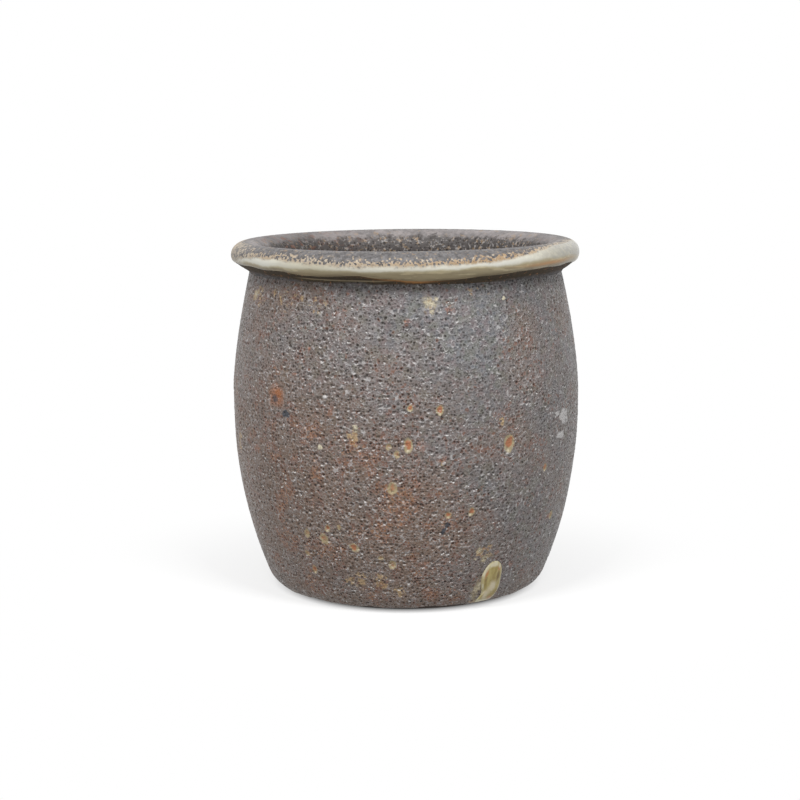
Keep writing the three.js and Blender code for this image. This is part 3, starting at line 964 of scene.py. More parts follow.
rest = round_points(*wall_line.offset(along, crust_lift), turn_row)
smooth_skin = round_points(*wall_line.offset(along, crust_lift + swell), turn_row)
even = (1 - 0.85 * masks["smooth"]) * round_lip
crowd = 0.06 + 0.5 * coarse
crust_skin = with_relief(smooth_skin, {
    "rest": rest,
    "crowd": crowd,
    "dish_depth": dish_depth * (0.25 + 0.75 * coarse) * even,
    "pore_depth": pore_depth * even,
})
behind_along = np.linspace(crust_top, 0, crust_back_rows)[:-1, None] + 0 * turn_row
crust_behind = round_points(*wall_line.offset(behind_along, back_lift), turn_row)
crust_values = {"rest": rest, "crowd": crowd, "warm": warm, **masks}
crust = closed_piece("crater_crust", crust_skin, crust_behind, crust_values, crater_finish, strips=2)
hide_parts("outer_glaze")
off_clay = np.hypot(crust_skin[..., 0], crust_skin[..., 1]) - wall_radius(crust_skin[..., 2])
above_lip = off_clay[20:] / mm
print("crust:", len(crust.data.polygons), "quads, its face",
      round(above_lip.min(), 2), "to", round(above_lip.max(), 2), "mm off the clay")

# %% [markdown]
# ## The rim's glaze
#
# On the rolled rim the same grey glaze lies thinner on top. It turns to ochre and brown freckles over
# the nose, and below them a cream glaze gathered in a glassy bead, whiter higher up, partly as a painted
# highlight. The bead ends in an olive edge over the cove under the rim, which is darkened with painted
# shade and has a painted shadow in the crease behind the fold. Numbers kept on the grid tell the material
# where it is: band is 0 at the neck, 1 on the nose, 2 on the crest and 3 at the throat, and past and pour
# are the millimetres above the edges of the olive glass and of the cream poured over it. Other numbers go
# round the rim: where it is white, ashy or dusty, where the freckles have spice, and where the throat is
# singed.

# %% The rim's freckles, bead and cove
rim_dark = (0.072, 0.068, 0.068)
rim_light = (0.170, 0.162, 0.163)
bead_cream = (0.530, 0.480, 0.330)
bead_white = (0.700, 0.690, 0.620)
bead_olive = (0.325, 0.268, 0.165)
bead_tan = (0.540, 0.460, 0.285)
bead_ash = (0.305, 0.297, 0.266)
streak_orange = (0.480, 0.230, 0.080)
freckle_brown = (0.055, 0.036, 0.026)
freckle_ochre = (0.370, 0.245, 0.130)
freckle_beige = (0.480, 0.420, 0.335)
cove_shade_brown = (0.058, 0.043, 0.027)
crease_shadow_brown = (0.034, 0.024, 0.015)
lining_light = (0.330, 0.298, 0.293)
lining_dark = (0.040, 0.034, 0.031)
freckle_cells = 620.0  # per metre
drawn_round = (0.3, 0.3, 1.8)  # stretches a pattern round the rim


def freckles(mix, place, grey, grains, above_edge):
    """Beige and ochre crumbs with brown dots, thinning out towards the rim's top."""
    thin_out = mix.most(mix.slope(above_edge, -0.05, 0.5, 0.9, 0.04), mix.kept("dusty"))
    crumb = mix.over(freckle_beige, freckle_ochre, stain(mix, place, 240.0, 0.75), mix.kept("spice"))
    crumbs = mix.slope(mix.minus(thin_out, grains["Tone"]), -0.1, 0.2)
    colour = mix.over(grey, crumb, crumbs, 0.9)
    dots = mix.slope(mix.cloud(place, 150.0), 0.4, 0.58, 0.3, 1.0)
    return mix.over(colour, freckle_brown, grains["Pit"], dots, thin_out)


def cream_bead(mix, place, grains, streaks, pour):
    """Cream with olive streaks, whiter higher up where it is thick, partly as a painted highlight, and
    pitted grey where it is ashy.
    """
    colour = mix.over(bead_cream, bead_olive, mix.slope(streaks, 0.5, 0.68, 0.0, 0.7))
    # Whiter higher up the bead: partly thick cream, partly a painted highlight.
    colour = mix.over(colour, bead_white, mix.slope(pour, 0.8, 3.2), mix.kept("white"))
    mottle = mix.slope(mix.cloud(place, 190.0, 4.0, 0.7), 0.35, 0.6, 0.6, 1.0)
    colour = mix.over(colour, bead_ash, mix.kept("ashy"), mottle)
    return mix.over(colour, bead_olive, mix.kept("ashy"), grains["Pit"], 0.4)


def cove_and_edge(mix, place, grey, pores, streaks, past):
    """The cove with its fold, darkened by painted shade under the rim and with a painted shadow in its
    crease, and the olive glass that ends over it.
    """
    # The grey turns dark brown towards the bead's edge, deep under the overhang: painted shade, with
    # painted shade in the pores too.
    cove = mix.over(grey, cove_shade_brown, mix.slope(past, -15.0, -8.0))
    cove = mix.over(cove, iron_fleck, stain(mix, place, 330.0, 0.36), 0.7)
    cove = mix.over(cove, pit_black, pores["Pit"], 0.7)
    cove = mix.over(cove, bead_olive, mix.kept("fold"), 0.8)
    # A painted shadow line in the crease behind the fold.
    cove = mix.over(cove, crease_shadow_brown, mix.kept("crease"), 0.9)
    olive = mix.over(cove_shade_brown, bead_olive, mix.slope(streaks, 0.42, 0.6))
    olive = mix.over(olive, bead_olive, mix.slope(past, 0.0, 2.0, 0.0, 0.7))
    olive = mix.over(olive, bead_tan, mix.slope(past, 2.5, 6.0), mix.slope(streaks, 0.36, 0.52, 1.0, 0.3))
    return mix.over(cove, olive, mix.slope(past, -0.6, 0.6))


print("the rim's freckles are", round(1000 / freckle_cells, 1), "mm apart")

# %% The rim's finish
def throat(mix, place, colour, grey, pores, level, top):
    """Mauve grey inside the crest; deeper in the mouth darkened with painted shade, pitted, with painted
    glints, and singed.
    """
    inner = mix.slope(level, 1.95, 2.2)
    mauve_share = mix.slope(mix.cloud(place, 50.0, 4.0, 0.6), 0.35, 0.65, 0.3, 1.0)
    colour = mix.over(colour, mix.over(grey, lining_light, mauve_share), inner, 0.85)
    colour = mix.over(colour, freckle_ochre, stain(mix, place, 150.0, 0.36), top, 0.5)
    ragged_level = mix.plus(level, mix.times(mix.cloud(place, 160.0, 4.0, 0.65), 0.6))
    deep = mix.slope(ragged_level, 2.68, 2.92)
    # Deeper in the mouth the colour is darkened as painted shade where less light reaches, with painted
    # glints on blisters and peaks and painted shade in the pits.
    colour = mix.over(colour, lining_dark, deep, 0.85)
    bright = mix.most(pores["Blister"], pores["Peak"])
    glint = mix.slope(mix.cloud(place, 300.0), 0.42, 0.6, 0.0, 0.45)
    colour = mix.over(colour, painted_glint_grey, deep, bright, glint)
    colour = mix.over(colour, freckle_ochre, deep, stain(mix, place, 300.0, 0.42), 0.5)
    colour = mix.over(colour, pit_black, deep, pores["Pit"])
    singed = mix.times(inner, mix.kept("singed"))
    colour = mix.over(colour, lining_dark, singed, 0.45)
    return mix.over(colour, iron_rust, singed, stain(mix, place, 170.0, 0.45), 0.7)


def rim_glaze():
    """Grey on top of the rim, freckles over the nose, a cream bead and a cove below darkened by painted
    shade.
    """
    mix = Finish("rim_glaze")
    place = mix.rest()
    pores = bubbles(mix, place, pore_cells)
    grains = bubbles(mix, place, freckle_cells)
    streaks = mix.cloud(mix.vector("MULTIPLY", place, drawn_round), 150.0, 4.0, 0.6)
    wander = mix.minus(mix.cloud(place, 70.0, 4.0, 0.65), 0.5)
    level = mix.plus(mix.kept("band"), mix.times(wander, 0.3))
    past = mix.plus(mix.kept("past"), mix.times(wander, 3.0))
    pour = mix.plus(mix.kept("pour"), mix.times(wander, 3.0))
    top_edge = mix.plus(mix.kept("pale"), 0.9)
    above_edge = mix.minus(level, top_edge)
    grey = mix.over(rim_dark, rim_light, mix.slope(mix.cloud(place, 260.0, 4.0, 0.65), 0.3, 0.7))
    # Painted glints on the blisters and painted shade in the pits.
    grey = mix.over(grey, painted_glint_grey, pores["Blister"], 0.2)
    grey = mix.over(grey, pit_black, pores["Pit"], 0.35)
    colour = cove_and_edge(mix, place, grey, pores, streaks, past)
    colour = mix.over(colour, cream_bead(mix, place, grains, streaks, pour), mix.slope(pour, 0.0, 2.5))
    colour = mix.over(colour, streak_orange, mix.kept("streak"))
    over_nose = mix.slope(level, mix.minus(top_edge, 0.05), mix.plus(top_edge, 0.1))
    colour = mix.over(colour, freckles(mix, place, grey, grains, above_edge), over_nose)
    top = mix.slope(above_edge, 0.15, 0.6)
    colour = throat(mix, place, colour, grey, pores, level, top)
    gloss = mix.between(over_nose, mix.slope(past, -1.0, 1.5, 0.75, 0.24), 0.5)
    grain = mix.cloud(place, 1100.0, 3.0, 0.6)
    height = mix.between(top, mix.times(grain, 0.15), mix.minus(grain, pores["Pit"]))
    return mix.done(colour, gloss, height, 0.5, 0.3 * mm, dull_sheen)


rim_finish = rim_glaze()

# %% [markdown]
# ## The lining
#
# Inside, the jar has a thinner coat of the same glaze over the rings that the potter's fingers left.
# It is mauve-grey, with painted shade darkening its pores, painted glints on its blisters and a few rusty
# freckles.

# %% The lining's finish
def lining_glaze():
    """Mauve-grey lining with pores darkened by painted shade, painted glints and freckles."""
    mix = Finish("lining_glaze")
    place = mix.rest()
    pores = bubbles(mix, place, pore_cells)
    mottled = mix.slope(mix.cloud(place, 90.0, 5.0, 0.65), 0.36, 0.66, 0.3, 0.85)
    colour = mix.over(lining_dark, lining_light, mottled)
    # Painted glints on the blisters and painted shade in the pores.
    glint = mix.slope(mix.cloud(place, 300.0), 0.45, 0.62, 0.0, 0.75)
    colour = mix.over(colour, painted_glint_grey, pores["Blister"], glint)
    colour = mix.over(colour, pit_black, pores["Pit"], 0.95)
    colour = mix.over(colour, iron_rust, stain(mix, place, 110.0, 0.22), 0.7)
    colour = mix.over(colour, freckle_ochre, stain(mix, place, 260.0, 0.12))
    gloss = mix.between(pores["Pit"], 0.42, 0.7)
    height = mix.minus(mix.cloud(place, 900.0, 3.0, 0.6), pores["Pit"])
    return mix.done(colour, gloss, height, 0.5, 0.3 * mm, dull_sheen)


lining_finish = lining_glaze()

# %% [markdown]
# ## Bead, rim and lining
#
# The three coats are cut from one grid over the mouth line. Its first rows line the cove under the rim,
# where the crater glaze runs up to the bead. The bead ends there in a thick edge, and on the front some
# of it sagged further and folded into a thin lip. The rim isn't quite level, because the jar was lifted
# off the wheel while it was soft.

# %% Lay the rows of the mouth grid
mouth_columns = 588
cove_rows = 14
cove_drop = 1.2 * mm  # the coat starts this far below the neck, and its first rows end above it
cove_rise = 5 * mm
cove_wander = 0.3 * mm
bead_step = 0.45 * mm
rim_step = 0.8 * mm
lining_step = 2.3 * mm

turn_row = turns_of(mouth_columns)
turn_degrees = np.degrees(turn_row)
level_row = 0 * turn_row
cove_ripple = cove_wander * ripple(turn_row, level_row, [(6, 1), (11, 1), (19, 1), (31, 1)], 31)
cove_start = at_neck - cove_drop + cove_ripple
cove_end = at_neck + cove_rise
cove_share = np.linspace(0, 1, cove_rows)[:, None]


def even_steps(start, end, step):
    """Places from start to end, about a step apart, without the start."""
    return np.linspace(start, end, round((end - start) / step) + 1)[1:, None]


bead_places = even_steps(cove_end, at_nose, bead_step)
rim_places = even_steps(at_nose, at_throat, rim_step)
lining_places = even_steps(at_throat, mouth_line.length, lining_step)
along = np.concatenate([
    cove_start + cove_share * (cove_end - cove_start),
    np.concatenate([bead_places, rim_places, lining_places]) + level_row,
])
band = np.interp(along, [at_neck, at_nose, at_crest, at_throat], [0, 1, 2, 3])
turn_now = np.broadcast_to(turn_row, along.shape)
from_start = along - cove_start
nose_row = cove_rows + len(bead_places) - 1
throat_row = nose_row + len(rim_places)
print("mouth grid:", along.shape, "with the bead up to row", nose_row, "and the rim to row", throat_row)

# %% Bead and fold
edge_wander = 0.6 * mm
bead_height = 0.9 * mm  # what the bead's edge stands off the coat
fold_spread = 0.75 * mm
crease_spread = 0.7 * mm
crease_above = 1.9 * mm  # from the middle of the fold to the crease behind it


def by_turn(points):
    """A value for each column, from pairs of a turn in degrees and a value."""
    turns, values = zip(*points)
    return np.interp(turn_degrees, turns, values)


edge_ripple = edge_wander * ripple(turn_row, level_row, [(5, 1), (9, 1), (17, 1), (26, 1)], 33)
# turns, and millimetres above the neck
pour_edge = at_neck + edge_ripple + mm * by_turn([
    (-180, 16), (-90, 19.8), (-60, 18), (-15, 16), (0, 17.3), (15, 17.3), (30, 18.4), (45, 20.3),
    (60, 20.8), (90, 20.8), (140, 16), (180, 16),
])
bead_edge = at_neck + edge_ripple + mm * by_turn([
    (-180, 13), (-80, 17.5), (-60, 16.2), (-45, 14.4), (-36, 10.5), (-30, 8.8), (-24, 10.5),
    (-15, 12.5), (-6, 9), (0, 5.5), (5, 5), (15, 6), (22, 8), (30, 10.2), (45, 14.5), (60, 15.5),
    (80, 17.5), (180, 13),
])
bead_thick = bead_height * step_up(along, bead_edge - 0.4 * mm, bead_edge + 0.9 * mm)
bead_thick = bead_thick * step_up(along, at_nose, at_nose - 7 * mm)
fold_middle = at_neck + mm * by_turn([(-42, 6.0), (-30, 4.6), (-12, 5.0), (0, 5.5)])
folded = step_up(turn_degrees, -42, -34) * step_up(turn_degrees, -2, -10)
folded = folded + step_up(turn_degrees, 120, 128) * step_up(turn_degrees, 170, 160)
fold = folded * bell(along - fold_middle, fold_spread)
crease = folded * bell(along - fold_middle - crease_above, crease_spread)
print("the bead's edge is", round((bead_edge.min() - at_neck) / mm, 1), "to",
      round((bead_edge.max() - at_neck) / mm, 1), "mm above the neck")

# %% Shape the mouth grid
coat = 1.2 * mm  # from the clay to the skin, before the lip, the bead and the fold
least_coat = 0.85 * mm
lip_reach = 1.3 * mm
lip_rise = 0.45 * mm
fold_height = 0.9 * mm
crease_depth = 0.3 * mm
starved_depth = 0.95 * mm  # glaze runs thin on the overhang
bead_ripple = 0.25 * mm
ring_pitch = 13 * mm  # the rings of the potter's fingers
ring_height = 0.45 * mm
rim_tilt = 0.6 * mm  # up on one side and down on the other
top_pores = 0.25 * mm
cove_pores = 0.35 * mm

lip_round = np.sqrt(1 - np.clip(1 - from_start / lip_reach, 0, 1) ** 2)
starved = step_up(from_start, 1 * mm, 6 * mm) * step_up(along, at_nose - 1 * mm, at_neck + 12 * mm)
uneven = step_up(band, 1.5, 0.9) * ripple(turn_now, along, [(5, 0.06), (11, 0.05), (23, -0.04)], 43)
mouth_lift = coat + lip_rise * lip_round + bead_thick + fold_height * fold - crease_depth * crease
mouth_lift = np.maximum(mouth_lift - starved_depth * starved + bead_ripple * uneven, least_coat)
inside = step_up(along, at_throat, at_throat + 20 * mm)
rings = np.sin(2 * math.pi * (along - at_throat) / ring_pitch + turn_now)
to_middle = np.clip((mouth_line.length - along) / (30 * mm), 0, 1)
mouth_lift = mouth_lift + ring_height * inside * to_middle * rings
radius, height = mouth_line.offset(along, mouth_lift)
on_rim = step_up(along, at_neck, at_nose) * step_up(along, at_throat + 40 * mm, at_throat)
height = height + rim_tilt * np.sin(turn_now) * on_rim
mouth_rest = round_points(np.maximum(radius, 0), height, turn_row)
pores_deep = top_pores * step_up(band, 1.1, 1.5) * (1 + 0.8 * step_up(band, 2.3, 2.7)) * to_middle
in_cove = step_up(from_start, 0.5 * mm, 2 * mm) * step_up(along, bead_edge, bead_edge - 2 * mm)
pores_deep = pores_deep + cove_pores * in_cove * (1 - np.clip(fold + crease, 0, 1))
mouth_skin = with_relief(mouth_rest, {"rest": mouth_rest, "pore_depth": pores_deep})
mouth_skin[-1, :, :2] = 0
mouth_normals = grid_normals(mouth_skin)
mouth_normals[-1] = (0, 0, 1)
print("the rim's crest is", round(mouth_skin[..., 2].max() / mm, 2), "mm up")

# %% [markdown]
# The bead's colour changes round the jar too: how far the cream climbs over the nose, where it is
# whitest or ashy, where the freckles are ochre or like dust, where fire singed the throat, and a rusty
# streak at the right.

# %% Colour values round the rim
streak_turn = 52
streak_spread = 9
streak_rise = 19.6 * mm  # above the neck
streak_climb = 0.06 * mm  # for each degree
streak_width = 0.9 * mm
rusty_lip_below = 1.2 * mm


def around(spots):
    """Soft patches that depend on the turn alone: a turn, a spread and a strength."""
    spots = [(middle, 0, spread, 1, strength) for middle, spread, strength in spots]
    return patches(turn_now, 0 * along, spots)


streak_middle = at_neck + streak_rise + streak_climb * (turn_degrees - streak_turn)
streak = 0.75 * bell(turn_degrees - streak_turn, streak_spread) * bell(along - streak_middle, streak_width)
rusty_lip = bell(turn_degrees - 1, 7) * bell(along - bead_edge + rusty_lip_below, 1.1 * mm)
shares = {
    "spice": around([(26, 22, 0.9), (-12, 14, 0.25), (-48, 12, 0.45), (150, 30, 0.8), (-110, 20, 0.6)]),
    "ashy": around([(74, 19, 1.3), (-88, 12, 0.9), (-150, 14, 0.7)]),
    "dusty": around([(-84, 14, 0.9), (110, 20, 0.6)]) * step_up(band, 2.1, 1.6),
    "singed": around([(-118, 16, 1.0), (-150, 12, 0.3), (100, 10, 0.4)]),
    "streak": np.maximum(streak, 0.85 * rusty_lip),
    "fold": fold,
    "crease": crease,
}
bead_values = {
    "band": band,
    "past": np.clip((along - bead_edge) / mm, -18, 18),
    "pour": np.clip((along - pour_edge) / mm, -14, 14),
    "pale": 0 * along + by_turn([
        (-180, 0.1), (-100, 0.0), (-75, -0.06), (-60, 0.12), (-45, 0.2), (-30, 0.06), (-15, 0.03),
        (15, 0.06), (30, 0.14), (45, 0.42), (60, 0.8), (80, 0.8), (120, 0.2), (180, 0.1),
    ]),
    "white": 0 * along + by_turn([
        (-180, 0.4), (-90, 0.1), (-64, 0.9), (-50, 0.95), (-38, 0.5), (-28, 0.35), (-18, 0.75), (0, 0.8),
        (18, 0.9), (30, 1.0), (42, 0.75), (60, 0.3), (90, 0.1), (140, 0.8), (180, 0.4),
    ]),
    **{label: np.clip(share, 0, 1) for label, share in shares.items()},
}
print("values kept on the rim:", ", ".join(bead_values))

# %% [markdown]
# The backs of the coats need few rows, because they follow the clay unseen. The lining's back has more,
# and they crowd where the wall turns into the floor: a long step there would cut the corner and come
# out through the visible skin.

# %% Cut the grid into three coats
coat_back = np.linspace(0, 1, 9)  # rows, as shares of the way along a coat
corner_reach = mm * np.arange(-16, 17, 3.2)
at_corner = mouth_line.place_of(*inside_point(floor_height))
corner_rows = (at_corner + corner_reach - at_throat) / (mouth_line.length - at_throat)
lining_back = np.union1d(np.linspace(0, 1, 25), corner_rows)


def mouth_coat(name, first, last, material, values, back_rows, **settings):
    """A closed piece from some rows of the mouth grid."""
    rows = slice(first, last + 1)
    behind_along = along[first] + back_rows[::-1, None] * (along[last] - along[first])
    radius, height = mouth_line.offset(behind_along, back_lift)
    radius[radius < 0.01 * mm] = 0
    behind = round_points(radius, height, turn_row)
    coat_values = {label: value[rows] for label, value in {"rest": mouth_rest, **values}.items()}
    return closed_piece(name, mouth_skin[rows], behind, coat_values, material,
                        normals=mouth_normals[rows], **settings)


bead = mouth_coat("rim_pale_bead", 0, nose_row, rim_finish, bead_values, coat_back, strips=4)
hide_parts("rim_bead")
rim_top = mouth_coat("rim_top_glaze", nose_row, throat_row, rim_finish, bead_values, coat_back, strips=4)
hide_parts("rim_glaze")
lining = mouth_coat("lining", throat_row, len(along) - 1, lining_finish, {}, lining_back,
                    strips=2, welded=weld_on_axis)
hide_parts("inner_glaze")
for piece in (bead, rim_top, lining):
    print(piece.name, len(piece.data.polygons), "faces")

# %% [markdown]
# ## The run
#
# Near the foot, to the right of the front, a tongue of pale glass ran down and stopped. It is thick at
# its rounded edge, cloudy with milk and brown inside, and rusty in a few spots. A filled outline could
# be extruded, but its edge would be square, so rings shrink from the outline to a middle point, and
# each ring has its own lift.

# %% The run's finish
run_olive = (0.300, 0.225, 0.058)
run_sage = (0.410, 0.335, 0.120)
run_cream = (0.570, 0.530, 0.370)
run_clouds = {
    "brown": (0.180, 0.120, 0.035),
    "milk": (0.560, 0.490, 0.340),
    "rust": (0.400, 0.180, 0.055),
}
drawn_down = (1.0, 1.0, 0.35)  # stretches a pattern down the run


def run_glaze():
    """Olive glass with a cream edge, milky and brown clouds and rusty spots."""
    mix = Finish("run_glaze")
    place = mix.rest()
    drawn = mix.vector("MULTIPLY", place, drawn_down)
    edge = mix.kept("edge")
    colour = mix.over(run_olive, run_sage, mix.slope(mix.cloud(drawn, 170.0, 3.0), 0.4, 0.62))
    for mask, tint in run_clouds.items():
        colour = mix.over(colour, tint, ragged(mix, place, mask, 0.5))
    streaks = mix.slope(mix.cloud(drawn, 300.0, 3.0), 0.4, 0.6, 0.35, 1.0)
    colour = mix.over(colour, run_cream, mix.slope(edge, 0.72, 0.9), streaks)
    gloss = mix.between(mix.slope(edge, 0.6, 1.0), 0.14, 0.4)
    return mix.done(colour, gloss, mix.cloud(place, 500.0), 0.25, 0.3 * mm)


run_finish = run_glaze()

# %% The run's outline
# turn in degrees and height in millimetres, anticlockwise from the foot's right
run_outline = [(36.5, 8), (38.5, 17), (38.2, 27), (37.4, 36.5), (35.3, 42.3), (32.6, 43.2), (30.4, 39),
               (29.0, 31), (29.5, 22), (30.4, 14), (28.8, 7), (32.5, 6.5)]
run_middle = (33.9, 24)
run_columns = 120


def closed_curve(points, count):
    """A smooth closed curve through points."""
    points = np.array(points, dtype=float)
    place = np.linspace(0, len(points), count, endpoint=False)
    first = place.astype(int)
    share = (place - first)[:, None]
    before, start, end, after = (points[(first + step) % len(points)] for step in (-1, 0, 1, 2))
    return 0.5 * (2 * start + (end - before) * share
                  + (2 * before - 5 * start + 4 * end - after) * share**2
                  + (3 * start - before - 3 * end + after) * share**3)


outline = closed_curve(run_outline, run_columns)
print("the run is", round(outline[:, 1].max() - outline[:, 1].min(), 1), "mm high")

# %% Build the run
run_rings = 16
run_ends = (6 * mm, 44 * mm)  # heights of its foot and its top, and how thick it is there
run_thickness = (1.9 * mm, 1.2 * mm)
run_root = 0.3 * mm  # how deep in the crust its edge starts
run_back = 0.6 * mm
run_ripple = 0.15 * mm

ring_share = np.sin(np.linspace(1, 0, run_rings) * math.pi / 2)[:, None]
run_turn = np.radians(run_middle[0] + ring_share * (outline[:, 0] - run_middle[0]))
run_height = mm * (run_middle[1] + ring_share * (outline[:, 1] - run_middle[1]))
run_along = np.interp(run_height, wall_line.height, wall_line.along)
thickness = np.interp(run_height, run_ends, run_thickness)
run_lift = glaze_lift - run_root + (run_root + thickness) * np.sqrt(1 - ring_share**4)
slow_waves = ripple(run_turn, run_height, [(40, 0.02), (90, -0.015)], 61)
run_lift = run_lift + run_ripple * slow_waves * (1 - ring_share**2)
face = round_points(*wall_line.offset(run_along, run_lift), run_turn)
under = round_points(*wall_line.offset(run_along, glaze_lift - run_back), run_turn)[::-1]
run_values = {
    "rest": face,
    "edge": ring_share + 0 * run_turn,
    "rust": patches(run_turn, run_height, [
        (30.7, 34, 0.6, 2.6, 0.9), (36.0, 37.5, 0.7, 2.4, 0.9), (34.6, 10.5, 1.0, 1.6, 0.9),
        (30.2, 29, 0.4, 2, 0.4)]),
    "brown": patches(run_turn, run_height, [
        (36.0, 29.5, 0.6, 4.5, 0.8), (30.8, 27, 0.6, 5, 0.6), (37.0, 14, 0.9, 3, 0.6)]),
    "milk": patches(run_turn, run_height, [
        (33.2, 40.6, 1.3, 1.7, 0.9), (34.5, 21, 1.3, 4.5, 0.8), (31.8, 14, 1.0, 4, 0.7)]),
}
both_sides = {label: np.concatenate([value, value[::-1]]) for label, value in run_values.items()}
both_sides["rest"] = np.concatenate([face, under])
run = closed_piece("glaze_tongue", face, under, both_sides, run_finish, strips=1, welded=weld_anywhere)
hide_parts("glaze_run")
print("run:", len(run.data.polygons), "faces")

# %% [markdown]
# ## Bare clay
#
# Clay shows only on the foot, where the glaze was wiped off, and on the underside. It fired to a dull
# brown red, with grit, darker scorched clouds and pale dust in its grooves. The pieces of clay inside
# the walls and the slip between them get the same finish in their own tones.

# %% Clay and slip finishes
def bare_clay(name, light, dark, speckle):
    """Unglazed fired clay: clouds, grit, a dry grain and painted shade by the ground."""
    mix = Finish(name)
    place = mix.add("ShaderNodeTexCoord", {}).outputs["Object"]
    colour = mix.over(dark, light, mix.slope(mix.cloud(place, 25.0, 5.0, 0.6), 0.38, 0.62))
    colour = mix.over(colour, speckle, stain(mix, place, 700.0, 0.2))
    colour = mix.over(colour, pit_black, stain(mix, place, 45.0, 0.3), 0.5)
    # The edge by the ground is darkened: painted shade where the foot meets the floor.
    colour = mix.over(colour, pit_black, mix.kept("scorch"), 0.85)
    gloss = mix.slope(mix.cloud(place, 300.0), 0.3, 0.7, 0.78, 0.95)
    return mix.done(colour, gloss, mix.cloud(place, 1600.0, 4.0, 0.65), 0.45, 0.3 * mm)


clay_finish = bare_clay("clay", (0.235, 0.130, 0.075), (0.150, 0.085, 0.052), (0.330, 0.240, 0.160))
slip_finish = bare_clay("slip", (0.330, 0.215, 0.140), (0.250, 0.150, 0.095), (0.420, 0.320, 0.230))
for label in ("corner_coil", "lower_wall", "upper_wall", "rim_roll"):
    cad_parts[label].material_slots[0].material = clay_finish
for label in ("base_slip", "belly_slip", "neck_slip"):
    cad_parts[label].material_slots[0].material = slip_finish

# %% [markdown]
# ## The foot
#
# The underside was cut from the wheel with a twisted wire, which leaves curved grooves. They are cut up
# into the slab, so that nothing hangs below the ground the jar stands on, and they fade out on the ring
# that carries it.

# %% Build the foot
foot_columns = 480
wire_middle = (40 * mm, 210 * mm)  # the wire's curves bend about a point beside the jar
groove_pitch = 5.5 * mm
groove_sway = 17 * mm
groove_depth = 0.5 * mm
bearing_ring = (6 * mm, 22 * mm)  # in from the edge: where the grooves start, and where they are full
scorch_width = 3 * mm  # painted shade on the edge by the ground

turn_row = turns_of(foot_columns)
bottom_radius = wall_radius(0.0)
flat_rows = np.linspace(0, bottom_radius, 70)[:, None]
edge_rows = np.linspace(0, floor_height, 16)[1:, None]
radius = np.concatenate([flat_rows, wall_radius(edge_rows)]) + 0 * turn_row
height = np.concatenate([0 * flat_rows, edge_rows]) + 0 * turn_row
under_x = radius * np.sin(turn_row)
under_y = -radius * np.cos(turn_row)
wire_reach = np.hypot(under_x - wire_middle[0], under_y - wire_middle[1])
wire_phase = 2 * math.pi * wire_reach / groove_pitch + 1.5 * np.sin(wire_reach / groove_sway)
grooves = (0.5 + 0.5 * np.sin(wire_phase)) ** 2
bearing = step_up(radius, bottom_radius - bearing_ring[0], bottom_radius - bearing_ring[1])
height = height + groove_depth * grooves * bearing * (height == 0)
foot_skin = round_points(radius, height, turn_row)
top_radius = wall_radius(floor_height) * np.linspace(1, 0, 6)[1:, None] + 0 * turn_row
foot_behind = round_points(top_radius, floor_height + 0 * top_radius, turn_row)
scorch = step_up(radius, bottom_radius - scorch_width, bottom_radius)
foot = closed_piece("foot", foot_skin, foot_behind, {"rest": foot_skin, "scorch": scorch}, clay_finish,
                    strips=2, welded=weld_on_axis)
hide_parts("base_slab")
print("foot: grooves up to", round(height[:60].max() / mm, 2), "mm deep, lowest point",
      round(foot_skin[..., 2].min() / mm, 3), "mm")

# %% [markdown]
# ## Floor and light
#
# The jar stands on plain white paper. Near the jar the paper shows the jar's shadow, and further off it
# fades into white as bright as the surround, so that no horizon shows. To other surfaces than the
# camera the paper is a darker grey, as a table is whose lamps stand high: the underside of the rim and
# the foot then stay in shade. Two large soft boxes, high on either side of the camera, and an even white
# surround give nearly shadowless light in which a colour renders about as it is written.

# %% Floor
floor_reach = 7.0
floor_corners = 96
contact_end = 0.113  # metres from the axis: the shadow is deepest up to here
fade_end = 0.34
paper_white = (0.93, 0.93, 0.93)
paper_grey = (0.5, 0.5, 0.5)  # what the jar gets back from it
pure_white = (1, 1, 1, 1)


def seen(mix):
    """1 for the camera's rays and for what shows in gloss or glass."""
    rays = mix.add("ShaderNodeLightPath", {}).outputs
    return mix.most(mix.most(rays["Is Camera Ray"], rays["Is Glossy Ray"]), rays["Is Transmission Ray"])


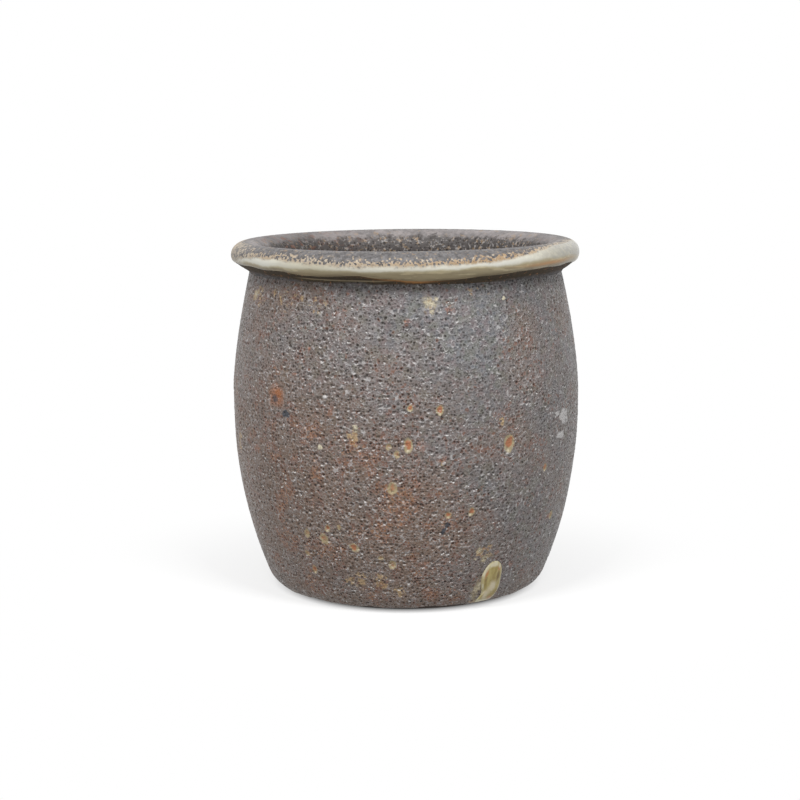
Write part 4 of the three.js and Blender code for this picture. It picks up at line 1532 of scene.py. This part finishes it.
paper = Finish("paper")
paper.shader.inputs["Roughness"].default_value = 0.9
paper.shader.inputs["Specular IOR Level"].default_value = 0.0
to_camera = paper.add("ShaderNodeLightPath", {}).outputs["Is Camera Ray"]
paper.tree.links.new(paper.over(paper_grey, paper_white, to_camera), paper.shader.inputs["Base Color"])
spot = paper.add("ShaderNodeTexCoord", {}).outputs["Object"]
off_axis = paper.add("ShaderNodeVectorMath", {0: spot}, operation="LENGTH").outputs["Value"]
near = paper.slope(off_axis, bottom_radius, contact_end, 0.1, 0.7)
far = paper.slope(off_axis, contact_end, fade_end, 0.0, 0.3)
faded = paper.times(paper.plus(near, far), seen(paper))
white = paper.add("ShaderNodeEmission", {"Color": pure_white, "Strength": 1.0})
blend = paper.add("ShaderNodeMixShader", {0: faded, 1: paper.shader.outputs[0], 2: white.outputs[0]})
paper.tree.links.new(blend.outputs[0], paper.tree.nodes["Material Output"].inputs["Surface"])

places = [(0.0, 0.0, 0.0)]
wedges = []
for corner, angle in enumerate(np.linspace(0, 2 * math.pi, floor_corners, endpoint=False)):
    places.append((floor_reach * math.cos(angle), floor_reach * math.sin(angle), 0.0))
    wedges.append((0, 1 + corner, 1 + (corner + 1) % floor_corners))
floor_mesh = bpy.data.meshes.new("floor")
floor_mesh.from_pydata(places, [], wedges)
floor_mesh.materials.append(paper.material)
floor = bpy.data.objects.new("floor", floor_mesh)
scene.collection.objects.link(floor)
print("the paper fades to white from", contact_end, "to", fade_end, "m round the jar")

# %% Light
lamp_watts = 37
lamp_side = 0.7
lamp_place = np.array([0.75, -1.4, 2.1])  # the right one; the left one mirrors it
lamp_aim = np.array([0, 0, 0.15])
surround_light = 0.35


def soft_box(name, place):
    """A square soft light that faces the jar's middle."""
    data = bpy.data.lights.new(name, "AREA")
    data.shape = "SQUARE"
    data.size = lamp_side
    data.energy = lamp_watts
    box = bpy.data.objects.new(name, data)
    box.location = place
    right, ahead, up = lamp_aim - place
    box.rotation_euler = (math.atan2(math.hypot(right, ahead), -up), 0, math.atan2(-right, ahead))
    scene.collection.objects.link(box)


soft_box("left_light", lamp_place * (-1, 1, 1))
soft_box("right_light", lamp_place)

world = bpy.data.worlds.new("surround")
world.use_nodes = True
scene.world = world
surround = Recipe(world.node_tree)
fill = surround.add("ShaderNodeBackground", {"Color": pure_white, "Strength": surround_light})
bright = surround.add("ShaderNodeBackground", {"Color": pure_white, "Strength": 1.0})
blend = surround.add("ShaderNodeMixShader", {0: seen(surround), 1: fill.outputs[0], 2: bright.outputs[0]})
world.node_tree.links.new(blend.outputs[0], world.node_tree.nodes["World Output"].inputs["Surface"])
scene.view_settings.view_transform = "Standard"

# %% [markdown]
# ## Sizes
#
# The dressed jar has to stay the size of the solids.
